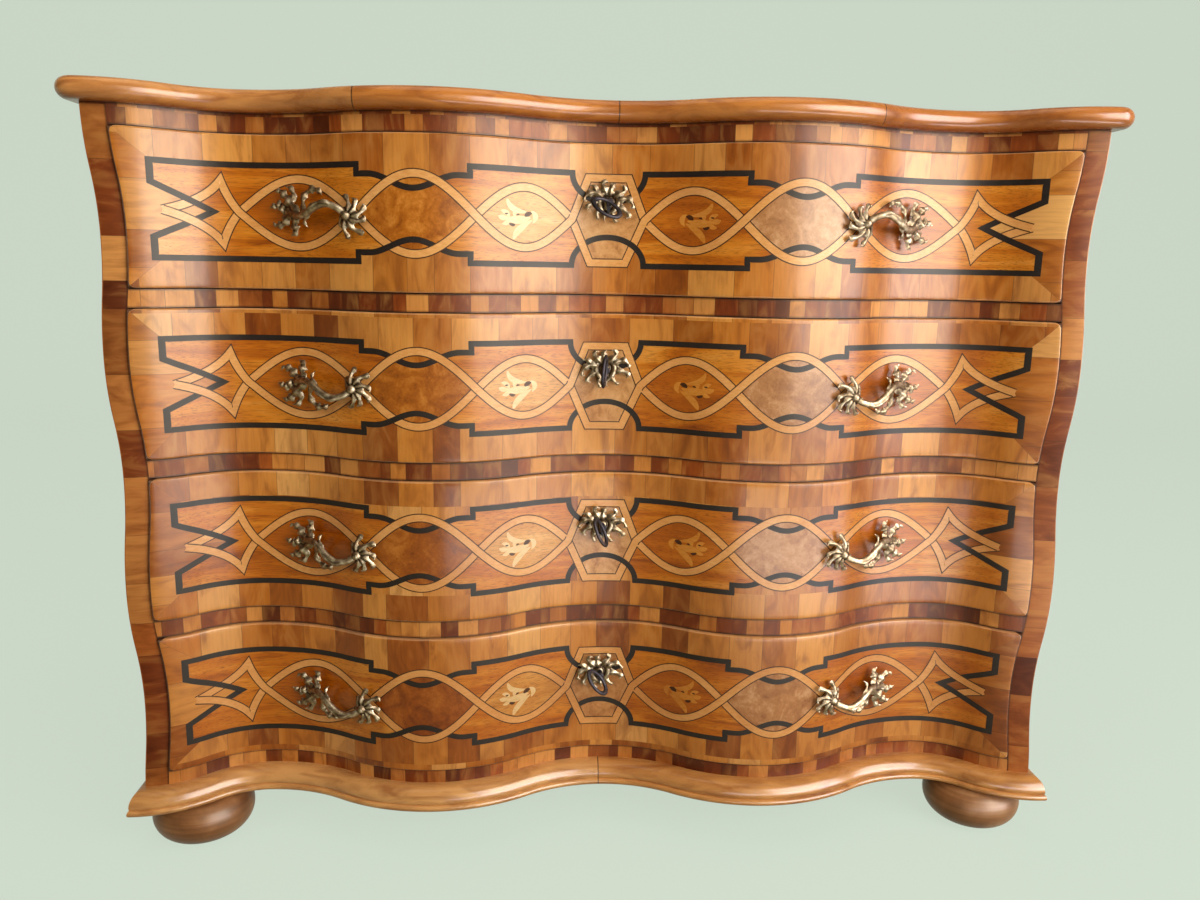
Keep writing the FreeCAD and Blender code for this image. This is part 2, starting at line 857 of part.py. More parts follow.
def lock(name, z):
    """Lock case, bolt and key; gives the case's outer block and the keyhole for the front."""
    layers = lock_layers()
    key_z = z + s.key_height
    top_edge = z + s.drawer_height
    block = box(
        name + "_lock_block",
        centred(s.lock_width / 2),
        layers["case"],
        (key_z - s.lock_below_key, top_edge),
    )
    window_x = s.key_bit_reach + s.key_clearance
    plate_x = window_x + s.bolt_rim
    window_low = key_z - window_x - s.bolt_throw
    window_high = key_z + window_x
    plate_z = (window_low - s.bolt_rim, window_high + s.bolt_rim)
    slack = s.bolt_clearance
    cavity = box(
        name + "_cavity",
        centred(plate_x + slack),
        layers["cavity"],
        (plate_z[0] - slack, plate_z[1] + s.bolt_throw + slack),
    )
    stem_x = s.bolt_stem_width / 2
    channel = box(name + "_channel", centred(stem_x + slack), layers["cavity"], (key_z, top_edge + slack))
    reach = (layers["face"] - s.key_standoff, layers["cavity"][1])
    hole = rod(name + "_shank_hole", s.key_radius + s.key_clearance, reach, 0, key_z)
    slot = box(
        name + "_bit_slot",
        centred(s.key_bit_thickness / 2 + s.key_clearance),
        reach,
        (key_z - s.key_bit_reach - s.key_clearance, key_z),
    )
    keyhole = fuse(name + "_keyhole", hole, slot)
    cut(name + "_lock", block, cavity, channel, keyhole)

    plate = box(name + "_bolt_plate", centred(plate_x), layers["bolt"], plate_z)
    stem = box(name + "_bolt_stem", centred(stem_x), layers["bolt"], (window_high, top_edge - s.bolt_drop))
    window = box(name + "_bolt_window", centred(window_x), layers["bolt"], (window_low, window_high))
    cut(name + "_bolt", fuse(name + "_bolt_solid", plate, stem), window)

    bow_y = layers["face"] - s.key_standoff
    shank_y = (bow_y + s.key_bow_radius, layers["cavity"][1] - s.key_clearance)
    shank = rod(name + "_shank", s.key_radius, shank_y, 0, key_z)
    half_bit = s.key_bit_thickness / 2
    bit = box(
        name + "_bit",
        centred(half_bit),
        (layers["middle"] - half_bit, layers["middle"] + half_bit),
        (key_z - s.key_bit_reach, key_z),
    )
    bow = doc.addObject("Part::Torus", name + "_bow")
    bind(bow, Radius1=s.key_bow_radius, Radius2=s.key_bow_wire)
    place(bow, 0, bow_y, key_z, FreeCAD.Rotation(FreeCAD.Vector(0, 1, 0), 90))
    fuse(name + "_key", shank, bit, bow)
    return block, keyhole


def keyhole_plate(name, z, keyhole):
    """A flat cast plate that spans the hollow of the front and beds on its veneer at both sides."""
    key_z = z + s.key_height
    half_width = s.plate_width / 2
    half_height = s.plate_height / 2
    bulge = s_curve(s.crest_x, s.wave_depth)[0]
    hollow = bulge - s.front_proud
    seat_y = s.wave_depth - bulge + root(hollow * hollow - half_width * half_width)
    back = seat_y - s.plate_bed
    arc = (s.plate_round, 1)
    oval = Path(
        [(0, key_z - half_height), (half_width, key_z), (0, key_z + half_height), (-half_width, key_z)],
        [arc, arc, arc],
    )
    outline = upright_prism(name + "_plate_outline", oval)
    layer = box(
        name + "_plate_layer",
        centred(s.plate_width),
        (back - s.plate_thickness, back),
        (z, z + s.drawer_height),
    )
    cut(name + "_escutcheon", boolean("Common", name + "_plate", layer, outline), keyhole)


def handles(name, z, front):
    """Two cast pulls with their posts and nuts; gives the posts and the nut seats for the front."""
    bulge = s_curve(s.crest_x, s.wave_depth)[0]
    inner_x = s.crest_x + s.handle_reach
    outer_x = inner_x + s.handle_span
    from_hollow = 2 * s.crest_x - outer_x
    on_bulge = bulge + s.front_proud
    in_hollow = bulge - s.front_proud
    inner_y = bulge - root(on_bulge * on_bulge - s.handle_reach * s.handle_reach)
    outer_y = s.wave_depth - bulge + root(in_hollow * in_hollow - from_hollow * from_hollow)
    depth = outer_y - inner_y
    span = root(s.handle_span * s.handle_span + depth * depth)
    angle = "atan(%s / %s)" % (depth.text, s.handle_span.text)
    middle_z = z + s.drawer_height / 2

    def seat(solid):
        """Turns a solid of the handle's own frame to lie along the front."""
        solid.Placement = FreeCAD.Placement(FreeCAD.Vector(), FreeCAD.Rotation(FreeCAD.Vector(0, 0, 1), 1))
        solid.setExpression("Placement.Rotation.Angle", angle)
        return place(solid, inner_x, inner_y, middle_z)

    def round_piece(part, kind, x, y, **radii):
        """A round piece of the handle's own frame whose axis points away from the wood."""
        solid = doc.addObject("Part::" + kind, "%s_%s" % (name, part))
        bind(solid, **radii)
        solid.Placement = FreeCAD.Placement(FreeCAD.Vector(), FreeCAD.Rotation(FreeCAD.Vector(1, 0, 0), 90))
        solid.setExpression("Placement.Base.x", as_size(x).text)
        solid.setExpression("Placement.Base.y", as_size(y).text)
        return solid

    rosette_reach = s.rosette_height + s.casting_bed
    leaf_reach = s.leaf_height + s.casting_bed
    rosette = round_piece(
        "rosette",
        "Cone",
        0,
        s.casting_bed,
        Radius1=s.rosette_radius,
        Radius2=s.rosette_radius / 2,
        Height=rosette_reach,
    )
    leaf = round_piece(
        "leaf",
        "Cone",
        span,
        s.casting_bed,
        Radius1=s.leaf_radius,
        Radius2=s.leaf_radius / 2,
        Height=leaf_reach,
    )
    bow = handle_bow(name, span)
    casting = seat(fuse(name + "_casting", rosette, leaf, bow))
    seated = cut(name + "_casting_seated", casting, front)

    seat_y = s.front_thickness - s.nut_sink
    post_reach = seat_y + s.nut_thickness + s.post_end
    posts = []
    seats = []
    nuts = []
    for end, x in (("inner", as_size(0)), ("outer", span)):
        post = round_piece(
            end + "_post", "Cylinder", x, post_reach, Radius=s.post_radius, Height=post_reach + s.casting_bed
        )
        recess = round_piece(
            end + "_seat",
            "Cylinder",
            x,
            seat_y + s.front_thickness,
            Radius=s.nut_seat_radius,
            Height=s.front_thickness,
        )
        nut = doc.addObject("Part::Box", "%s_%s_nut" % (name, end))
        bind(nut, Length=s.nut_width, Width=s.nut_thickness, Height=s.nut_width)
        nut.setExpression("Placement.Base.x", (x - s.nut_width / 2).text)
        nut.setExpression("Placement.Base.y", seat_y.text)
        nut.setExpression("Placement.Base.z", (-s.nut_width / 2).text)
        posts.append(post)
        seats.append(recess)
        nuts.append(nut)
    post_pair = seat(group(name + "_posts_right", *posts))
    seat_pair = seat(group(name + "_seats_right", *seats))
    nut_pair = seat(group(name + "_nuts_right", *nuts))
    pair(name + "_handles", fuse(name + "_handle", seated, post_pair))
    pair(name + "_handle_nuts", cut(name + "_nuts_bored", nut_pair, post_pair))
    return pair(name + "_posts", post_pair), pair(name + "_seats", seat_pair)


def handle_bow(name, span):
    """The bow between rosette and leaf: a round bar along an arc that stands off the wood."""
    radius = (span * span / 4 + s.handle_rise * s.handle_rise) / (2 * s.handle_rise)
    centre_y = radius - s.handle_rise - s.rosette_height / 2
    body = doc.addObject("PartDesign::Body", name + "_bow_bar")
    sketch = body.newObject("Sketcher::SketchObject", name + "_bow_section")
    sketch.AttachmentSupport = [(origin_plane(body, "YZ_Plane"), "")]
    sketch.MapMode = "FlatFace"
    start = FreeCAD.Vector(-radius.value, 0, 0)
    sketch.addGeometry(Part.Circle(start, FreeCAD.Vector(0, 0, 1), s.handle_wire.value), False)
    sketch.addConstraint(
        [
            Sketcher.Constraint("DistanceX", -1, 1, 0, 3, start.x),
            Sketcher.Constraint("PointOnObject", 0, 3, -1),
            Sketcher.Constraint("Radius", 0, s.handle_wire.value),
        ]
    )
    sketch.setExpression("Constraints[0]", (-radius).text)
    sketch.setExpression("Constraints[2]", s.handle_wire.text)
    bar = body.newObject("PartDesign::Revolution", name + "_bow_turned")
    bar.Profile = sketch
    bar.ReferenceAxis = (sketch, ["V_Axis"])
    bar.Midplane = True
    bar.setExpression("Angle", "2 * asin(%s / 2 / %s)" % (span.text, radius.text))
    body.setExpression("Placement.Base.x", (span / 2).text)
    body.setExpression("Placement.Base.y", centre_y.text)
    return body


# Assembly
carcase()
top()
base()
drawer_ends = upright_prism("drawer_ends", elevation(s.stile_width + s.drawer_gap))
for drawer_number in range(1, DRAWERS + 1):
    drawer(drawer_number, drawer_ends)
doc.recompute()

NODES = [
    "left_side",
    "right_side",
    "left_stile",
    "right_stile",
    "back_boards",
    "bottom_board",
    "foot_battens",
    "top_board",
    "top_moulding",
    "top_rail",
    "bottom_rail",
    "drawer_runners",
    "drawer_guides",
    "drawer_stops",
    "base_moulding",
    "bun_feet",
]
NODES += ["divider_rail_%d" % number for number in range(1, DRAWERS)]
DRAWER_PIECES = (
    "front",
    "sides",
    "back",
    "bottom",
    "lock",
    "bolt",
    "key",
    "escutcheon",
    "handles",
    "handle_nuts",
)
for number in range(1, DRAWERS + 1):
    NODES += ["drawer_%d_%s" % (number, piece) for piece in DRAWER_PIECES]

failed = [obj.Name for obj in doc.Objects if "Invalid" in obj.State or "Error" in obj.State]
if failed:
    raise RuntimeError("features that failed: %s" % ", ".join(failed))
for name in NODES:
    shape = doc.getObject(name).Shape
    if shape.isNull() or not shape.isValid() or not shape.Solids:
        raise RuntimeError("%s has no valid solid" % name)

os.makedirs("parts", exist_ok=True)
for name in NODES:
    doc.getObject(name).Shape.exportStep("parts/%s.step" % name)
print("%d nodes written" % len(NODES))
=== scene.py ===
"""Looks of the serpentine walnut chest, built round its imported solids, in metres.

Drawer decoration is drawn flat, across the drawer and up from its middle, and then laid on the
waved front.
"""
import logging
import math
from dataclasses import dataclass
from enum import Enum
from typing import Callable, Sequence, Union

import bpy
import numpy as np
from mathutils import Matrix, Vector


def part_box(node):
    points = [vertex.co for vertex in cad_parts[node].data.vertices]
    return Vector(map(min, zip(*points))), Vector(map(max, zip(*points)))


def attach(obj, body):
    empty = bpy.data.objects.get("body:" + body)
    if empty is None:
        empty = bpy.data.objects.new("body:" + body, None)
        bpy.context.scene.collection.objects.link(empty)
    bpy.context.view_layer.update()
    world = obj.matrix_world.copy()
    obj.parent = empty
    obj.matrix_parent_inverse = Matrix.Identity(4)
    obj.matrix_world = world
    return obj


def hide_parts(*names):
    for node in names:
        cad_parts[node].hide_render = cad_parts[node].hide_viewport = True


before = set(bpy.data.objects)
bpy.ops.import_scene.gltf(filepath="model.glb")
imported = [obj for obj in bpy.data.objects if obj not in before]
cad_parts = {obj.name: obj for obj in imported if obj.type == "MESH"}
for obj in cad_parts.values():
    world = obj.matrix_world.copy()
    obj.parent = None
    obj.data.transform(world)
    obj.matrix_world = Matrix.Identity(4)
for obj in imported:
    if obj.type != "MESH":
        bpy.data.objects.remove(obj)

Array = np.ndarray
Piece = bpy.types.Object
Socket = bpy.types.NodeSocket
Material = bpy.types.Material
Value = Union[float, Socket]
Colour = tuple[float, float, float, float]
Ramp = tuple[tuple[float, Colour], ...]

LOG = logging.getLogger("chest")
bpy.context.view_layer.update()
MM = 0.001
SKIN = 0.3 * MM
SMOOTH_ANGLE = math.radians(40)
WELD = MM / 200
DRAWERS = (1, 2, 3, 4)
SIDES = (-1, 1)


def srgb(red: int, green: int, blue: int) -> Colour:
    """A colour written as it looks on a screen, 0 to 255, in linear light."""
    shares = (channel / 255 for channel in (red, green, blue))
    return (*(s / 12.92 if s <= 0.04045 else ((s + 0.055) / 1.055) ** 2.4 for s in shares), 1.0)


def shades(*stops: tuple[float, int, int, int]) -> Ramp:
    """A run of colours, each from its place, 0 to 1."""
    return tuple((place, srgb(*colour)) for place, *colour in stops)


class Slot(Enum):
    """The record's material slots, listed; the new pieces get materials of their own."""

    VENEER = "walnut_veneer"
    SOLID = "walnut_solid"
    STAINED = "stained_wood"
    BRONZE = "gilt_bronze"
    IRON = "iron"


class Axis(Enum):
    """The way that a row of veneer blocks runs."""

    ACROSS = 0
    UP = 2


# Lines of the chest
@dataclass(frozen=True)
class FrontWave:
    """The serpentine of the front in plan: a bulge each side, a hollow between and one beside each."""

    crest_x: float = 211 * MM
    end_bay: float = 153.5 * MM
    wave_depth: float = 58 * MM
    crest_y: float = -284 * MM

    @property
    def corner_x(self) -> float:
        """Half the width of the carcase at its top."""
        return 2 * self.crest_x + self.end_bay

    def y(self, x: Array, offset: Union[float, Array]) -> Array:
        """Where the front lies.

        Args:
            x: places across the chest.
            offset: how far the surface stands in front of the carcase, at right angles to it.

        Returns:
            The frame's y at each place.
        """
        across = np.abs(x)
        depth = self.wave_depth
        bulge = (self.crest_x**2 + depth**2) / (4 * depth)
        end = (self.end_bay**2 + depth**2) / (4 * depth)
        lean = offset * self.crest_x / (2 * bulge)
        end_lean = offset * self.end_bay / (2 * end)
        hollow = 2 * self.crest_x

        def arc(radius: Union[float, Array], middle: float) -> Array:
            """How far a circle stands off its middle line."""
            return np.sqrt(np.maximum(radius**2 - (across - middle) ** 2, 0))

        back = np.select(
            [
                across <= self.crest_x / 2 - lean,
                across <= 1.5 * self.crest_x + lean,
                across <= hollow,
                across <= hollow + self.end_bay / 2 - end_lean,
                across <= self.corner_x,
            ],
            [
                depth - bulge + arc(bulge - offset, 0),
                bulge - arc(bulge + offset, self.crest_x),
                depth - bulge + arc(bulge - offset, hollow),
                depth - end + arc(end - offset, hollow),
                end - arc(end + offset, self.corner_x),
            ],
            default=-offset * np.ones_like(across),
        )
        return self.crest_y + back


@dataclass(frozen=True)
class CornerEdge:
    """The waved outer edge of the sides, seen from the front."""

    corner_x: float
    foot_z: float
    top_z: float
    half_waves: int = 6
    swing: float = 9 * MM
    taper: float = 10 * MM

    def x(self, z: Array) -> Array:
        """Half the chest's width at each height.

        Args:
            z: the heights.

        Returns:
            The half widths.
        """
        length = (self.top_z - self.foot_z) / self.half_waves
        step = self.taper / self.half_waves
        down = np.clip(self.top_z - z, 0, self.top_z - self.foot_z)
        index = np.minimum((down / length).astype(int), self.half_waves - 1)
        inwards = index % 2 == 0
        run = down - index * length
        start = self.corner_x - (index // 2) * 2 * step - (index % 2) * (self.swing + step)
        depth = np.where(inwards, self.swing + step, self.swing - step)
        radius = (length**2 + depth**2) / (4 * depth)
        near = radius - np.sqrt(radius**2 - np.minimum(run, length / 2) ** 2)
        left = np.minimum(length - run, length / 2)
        far = depth - radius + np.sqrt(radius**2 - left**2)
        moved = np.where(run <= length / 2, near, far)
        return start + np.where(inwards, -moved, moved)


WAVE = FrontWave()
EDGE = CornerEdge(WAVE.corner_x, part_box("left_stile")[0].z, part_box("left_stile")[1].z)
STILE_WIDTH = 26 * MM
DRAWER_GAP = 1.2 * MM
DRAWER_PROUD = 5 * MM
FACE = DRAWER_PROUD + SKIN


# Modelling
def select_only(*pieces: Piece) -> None:
    """Selects these pieces and makes the first one active.

    Args:
        pieces: the pieces.
    """
    bpy.ops.object.select_all(action="DESELECT")
    for piece in pieces:
        piece.select_set(True)
    bpy.context.view_layer.objects.active = pieces[0]


def fetched(items: bpy.types.bpy_prop_collection, name: str, width: int, kind: type = float) -> Array:
    """Reads a property of a mesh's vertices, edges or corners.

    Args:
        items: the vertices, edges or corners.
        name: the property.
        width: how many numbers each item has.
        kind: their type.

    Returns:
        One row for each item.
    """
    numbers = np.empty(len(items) * width, dtype=kind)
    items.foreach_get(name, numbers)
    return numbers.reshape(-1, width)


def points_of(piece: Piece) -> Array:
    """The piece's vertices, one row each."""
    return fetched(piece.data.vertices, "co", 3)


def set_points(piece: Piece, points: Array) -> None:
    """Moves the piece's vertices."""
    piece.data.vertices.foreach_set("co", np.ascontiguousarray(points).ravel())
    piece.data.update()


def sheet(name: str, columns: int, rows: int, shape: Callable[[Array, Array], Array]) -> Piece:
    """A grid laid into shape.

    Args:
        name: the piece's name.
        columns: faces along the first way of the grid.
        rows: faces along the second way.
        shape: gives the place of points from their two shares, 0 to 1, of the grid.

    Returns:
        The open sheet.
    """
    bpy.ops.object.select_all(action="DESELECT")
    bpy.ops.mesh.primitive_grid_add(x_subdivisions=columns, y_subdivisions=rows, size=2)
    piece = bpy.context.object
    piece.name = name
    flat = points_of(piece)
    set_points(piece, shape((flat[:, 0] + 1) / 2, (flat[:, 1] + 1) / 2))
    return piece


def stacked(x: Array, y: Array, z: Array) -> Array:
    """Coordinates as rows of points, single numbers repeated."""
    return np.stack(np.broadcast_arrays(x, y, z), axis=1).astype(float)


def flip(piece: Piece) -> None:
    """Turns every face of a piece round.

    Args:
        piece: the piece.
    """
    select_only(piece)
    bpy.ops.object.mode_set(mode="EDIT")
    bpy.ops.mesh.select_all(action="SELECT")
    bpy.ops.mesh.flip_normals()
    bpy.ops.object.mode_set(mode="OBJECT")


def turn_to(piece: Piece, direction: Sequence[float]) -> None:
    """Flips an open sheet if its faces look away from a direction.

    Args:
        piece: the sheet.
        direction: the way that it has to look.
    """
    facing = sum((face.normal * face.area for face in piece.data.polygons), Vector())
    if facing.dot(Vector(direction)) < 0:
        flip(piece)


def modify(piece: Piece, kind: str, **settings: object) -> None:
    """Adds a modifier and applies it.

    Args:
        piece: the piece.
        kind: the modifier's type.
        settings: its settings by name.
    """
    select_only(piece)
    bpy.ops.object.modifier_add(type=kind)
    modifier = piece.modifiers[-1]
    for name, value in settings.items():
        setattr(modifier, name, value)
    bpy.ops.object.modifier_apply(modifier=modifier.name)


def thicken(piece: Piece, thickness: float, direction: Sequence[float] = (0, -1, 0)) -> Piece:
    """Makes a sheet that faces a direction a closed plate that reaches back from it.

    Args:
        piece: the sheet.
        thickness: how thick it gets.
        direction: the way that it faces.

    Returns:
        The plate.
    """
    turn_to(piece, direction)
    modify(piece, "SOLIDIFY", thickness=thickness, offset=-1.0)
    return smooth(piece)


def close(piece: Piece) -> Piece:
    """Welds the seams of a rolled sheet, caps its ends and turns its faces outwards.

    Args:
        piece: the sheet.

    Returns:
        The closed piece.
    """
    select_only(piece)
    bpy.ops.object.mode_set(mode="EDIT")
    bpy.ops.mesh.select_all(action="SELECT")
    bpy.ops.mesh.remove_doubles(threshold=WELD)
    bpy.ops.mesh.fill_holes(sides=0)
    bpy.ops.mesh.select_all(action="SELECT")
    bpy.ops.mesh.normals_make_consistent(inside=False)
    bpy.ops.object.mode_set(mode="OBJECT")
    return smooth(piece)


def swept(name: str, columns: int, profile: Array, shape: Callable[[Array, Array, Array], Array]) -> Piece:
    """A profile swept along or round into a closed piece.

    Args:
        name: the piece's name.
        columns: faces along the sweep.
        profile: rows of two lengths.
        shape: gives the place of points from their share, 0 to 1, of the sweep and their two lengths.

    Returns:
        The closed piece.
    """
    rows = len(profile) - 1

    def laid(u: Array, v: Array) -> Array:
        """The sweep, by its shares along and over the profile."""
        return shape(u, *profile[np.rint(v * rows).astype(int)].T)

    return close(sheet(name, columns, rows, laid))


def smooth(piece: Piece) -> Piece:
    """Shades round faces smooth and leaves arrises sharp.

    Args:
        piece: the piece.

    Returns:
        The same piece.
    """
    select_only(piece)
    bpy.ops.object.shade_smooth_by_angle(angle=SMOOTH_ANGLE)
    return piece


def joined(name: str, pieces: Sequence[Piece]) -> Piece:
    """One piece made of several.

    Args:
        name: the piece's name.
        pieces: what it is made of.

    Returns:
        The piece.
    """
    select_only(*pieces)
    if len(pieces) > 1:
        bpy.ops.object.join()
    pieces[0].name = name
    return pieces[0]


def copied(piece: Piece, name: str) -> Piece:
    """A copy with its own mesh.

    Args:
        piece: what is copied.
        name: the copy's name.

    Returns:
        The copy.
    """
    copy = piece.copy()
    copy.data = piece.data.copy()
    copy.name = name
    bpy.context.scene.collection.objects.link(copy)
    return copy


def raised(piece: Piece, name: str, height: float) -> Piece:
    """A copy moved up by a height, its place in its mesh.

    Args:
        piece: what is copied.
        name: the copy's name.
        height: how far up.

    Returns:
        The copy.
    """
    copy = copied(piece, name)
    copy.data.transform(Matrix.Translation((0, 0, height)))
    return copy


def removed(piece: Piece) -> None:
    """Takes a pattern piece away once its copies are made."""
    bpy.data.objects.remove(piece)


def map_edges(piece: Piece, to_end: Array, to_level: Array) -> None:
    """Writes how far each vertex lies from the edges of its veneer, as a UV map.

    Args:
        piece: the piece.
        to_end: the lengths to its ends.
        to_level: the lengths to its level edges.
    """
    mesh = piece.data
    uv = mesh.uv_layers.new(name="edges")
    corners = fetched(mesh.loops, "vertex_index", 1, int)[:, 0]
    uv.data.foreach_set("uv", np.stack([to_end, to_level], axis=1)[corners].ravel())


def dressed(piece: Piece, material: Material, body: str) -> Piece:
    """Gives a new piece its finish and the body that it moves with.

    Args:
        piece: the piece.
        material: its finish.
        body: the body.

    Returns:
        The same piece.
    """
    piece.data.materials.clear()
    piece.data.materials.append(material)
    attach(piece, body)
    LOG.info("%s: %d faces on %s", piece.name, len(piece.data.polygons), body)
    return piece


# Finishes
class Shader:
    """A material's nodes, written as calls that give sockets."""

    def __init__(self, name: str) -> None:
        """Starts a material with its one surface shader.

        Args:
            name: the material's name.
        """
        self.material = bpy.data.materials.new(name)
        self.material.use_nodes = True
        self.tree = self.material.node_tree
        self.surface = self.tree.nodes["Principled BSDF"]

    def feed(self, socket: Socket, value: object) -> None:
        """Sets a socket, or links another one to it.

        Args:
            socket: the socket.
            value: a plain value, or the other socket.
        """
        if isinstance(value, bpy.types.NodeSocket):
            self.tree.links.new(value, socket)
        else:
            socket.default_value = value

    def node(self, kind: str, inputs: dict[Union[str, int], object], **settings: object) -> bpy.types.Node:
        """Adds a node with its settings and inputs.

        Args:
            kind: its type.
            inputs: values or sockets by input.
            settings: its properties by name.

        Returns:
            The node.
        """
        node = self.tree.nodes.new("ShaderNode" + kind)
        for name, value in settings.items():
            setattr(node, name, value)
        for name, value in inputs.items():
            self.feed(node.inputs[name], value)
        return node

    def place(self) -> tuple[Socket, Socket, Socket]:
        """The three Object coordinates."""
        return self.split(self.node("TexCoord", {}).outputs["Object"])

    def mapped(self, layer: str) -> tuple[Socket, Socket]:
        """The two lengths of a UV map."""
        return self.split(self.node("UVMap", {}, uv_map=layer).outputs["UV"])[:2]

    def split(self, vector: Socket) -> tuple[Socket, Socket, Socket]:
        """The parts of a vector."""
        parts = self.node("SeparateXYZ", {0: vector}).outputs
        return parts[0], parts[1], parts[2]

    def point(self, x: Value, y: Value, z: Value) -> Socket:
        """A vector from its parts."""
        return self.node("CombineXYZ", {0: x, 1: y, 2: z}).outputs[0]

    def sum(self, first: Value, second: Value) -> Socket:
        """One value and another."""
        return self.math("ADD", first, second)

    def times(self, first: Value, second: Value) -> Socket:
        """One value times another."""
        return self.math("MULTIPLY", first, second)

    def math(self, operation: str, *values: Value) -> Socket:
        """One step of arithmetic."""
        return self.node("Math", dict(enumerate(values)), operation=operation).outputs[0]

    def apart(self, first: Value, second: Value) -> Socket:
        """How far two values lie apart."""
        return self.math("ABSOLUTE", self.math("SUBTRACT", first, second))

    def within(self, value: Value, low: float, high: float) -> Socket:
        """How far a value has gone from low to high, 0 to 1."""
        inputs = {"Value": value, "From Min": low, "From Max": high}
        return self.node("MapRange", inputs, clamp=True).outputs[0]

    def noise(self, vector: Socket, scale: float, detail: float = 4, distortion: float = 0) -> Socket:
        """Cloudy noise, 0 to 1."""
        inputs = {"Vector": vector, "Scale": scale, "Detail": detail, "Distortion": distortion}
        return self.node("TexNoise", inputs).outputs[0]

    def streaks(self, parts: Sequence[Value], scales: Sequence[float], detail: int, bend: float) -> Socket:
        """Noise drawn out by a scale for each way, 0 to 1."""
        point = self.point(*(self.times(part, scale) for part, scale in zip(parts, scales)))
        return self.noise(point, 1.0, detail, bend)

    def cells(self, along: Value, feature: str = "F1") -> bpy.types.Node:
        """Uneven stretches along one way, one in each unit of length."""
        return self.node("TexVoronoi", {"W": along, "Scale": 1.0}, voronoi_dimensions="1D", feature=feature)

    def ramp(self, share: Value, stops: Sequence[tuple[float, Colour]], stepped: bool = False) -> Socket:
        """A colour from a share, 0 to 1.

        Args:
            share: the place on the ramp.
            stops: places and their colours.
            stepped: whether each colour holds until the next.

        Returns:
            The colour.
        """
        node = self.node("ValToRGB", {0: share})
        node.color_ramp.interpolation = "CONSTANT" if stepped else "LINEAR"
        elements = node.color_ramp.elements
        for position, _ in stops[2:]:
            elements.new(position)
        for element, (position, colour) in zip(elements, stops):
            element.position = position
            element.color = colour
        return node.outputs[0]

    def mix(self, share: Value, first: object, second: object, blend: str = "MIX") -> Socket:
        """One colour with another over or into it.

        Args:
            share: how much of the second colour.
            first: the colour under.
            second: the colour over it.
            blend: how they blend.

        Returns:
            The colour.
        """
        node = self.node("Mix", {}, data_type="RGBA", blend_type=blend)
        self.feed(node.inputs[0], share)
        self.feed(node.inputs[6], first)
        self.feed(node.inputs[7], second)
        return node.outputs[2]

    def relief(self, height: Socket, distance: float, strength: float = 1.0) -> None:
        """Presses a height into the surface."""
        inputs = {"Height": height, "Distance": distance, "Strength": strength}
        self.feed(self.surface.inputs["Normal"], self.node("Bump", inputs).outputs[0])

    def done(self, **inputs: object) -> Material:
        """Feeds the surface shader; an underscore in a name stands for a space.

        Args:
            inputs: values or sockets by input.

        Returns:
            The material.
        """
        for name, value in inputs.items():
            self.feed(self.surface.inputs[name.replace("_", " ")], value)
        return self.material


@dataclass(frozen=True)
class Polish:
    """Amber shellac: its gloss and tint, a thin clear film over it, and painted shade that darkens the wood
    towards the floor.
    """

    roughness: float = 0.3
    shine: float = 0.36
    film: float = 0.06
    film_roughness: float = 0.16
    tint: Colour = (1.0, 0.78, 0.42, 1.0)
    # How much painted shade darkens the wood towards the floor, and between which heights it grows.
    darkening: float = 0.34
    floor_shade_heights: tuple[float, float] = (0.75, 0.15)
    clouding: float = 0.3
    ripple: float = 0.12 * MM
    pore_depth: float = 0.12
    pore_dulling: float = 0.14
    between_pores: float = -0.06

    def lay(self, shader: Shader, colour: Socket, grain: Socket) -> Material:
        """Polishes a coloured wood.

        Args:
            shader: the material in the making.
            colour: its colour.
            grain: its pores, 0 to 1, which take some of the gloss.

        Returns:
            The finished material.
        """
        x, y, z = shader.place()
        place = shader.point(x, y, z)
        swell = shader.noise(place, 22, 2)
        cloud = shader.within(shader.noise(place, 8, 3, 0.5), 0.45, 0.7)
        # Painted shade: the wood darkens towards the floor as if less light reached it there; the clouding is
        # the polish's own.
        low = shader.within(z, *self.floor_shade_heights)
        cloud_and_shade = shader.sum(shader.times(cloud, self.clouding), shader.times(low, self.darkening))
        colour = shader.mix(cloud_and_shade, colour, CLOUD_AND_SHADE_TINT, "MULTIPLY")
        height = shader.sum(swell, shader.times(grain, self.pore_depth))
        shader.relief(height, self.ripple)
        rough = shader.sum(self.roughness + self.between_pores, shader.times(grain, self.pore_dulling))
        return shader.done(
            Base_Color=colour,
            Roughness=rough,
            Specular_IOR_Level=self.shine,
            Specular_Tint=self.tint,
            Coat_Weight=self.film,
            Coat_Roughness=self.film_roughness,
        )


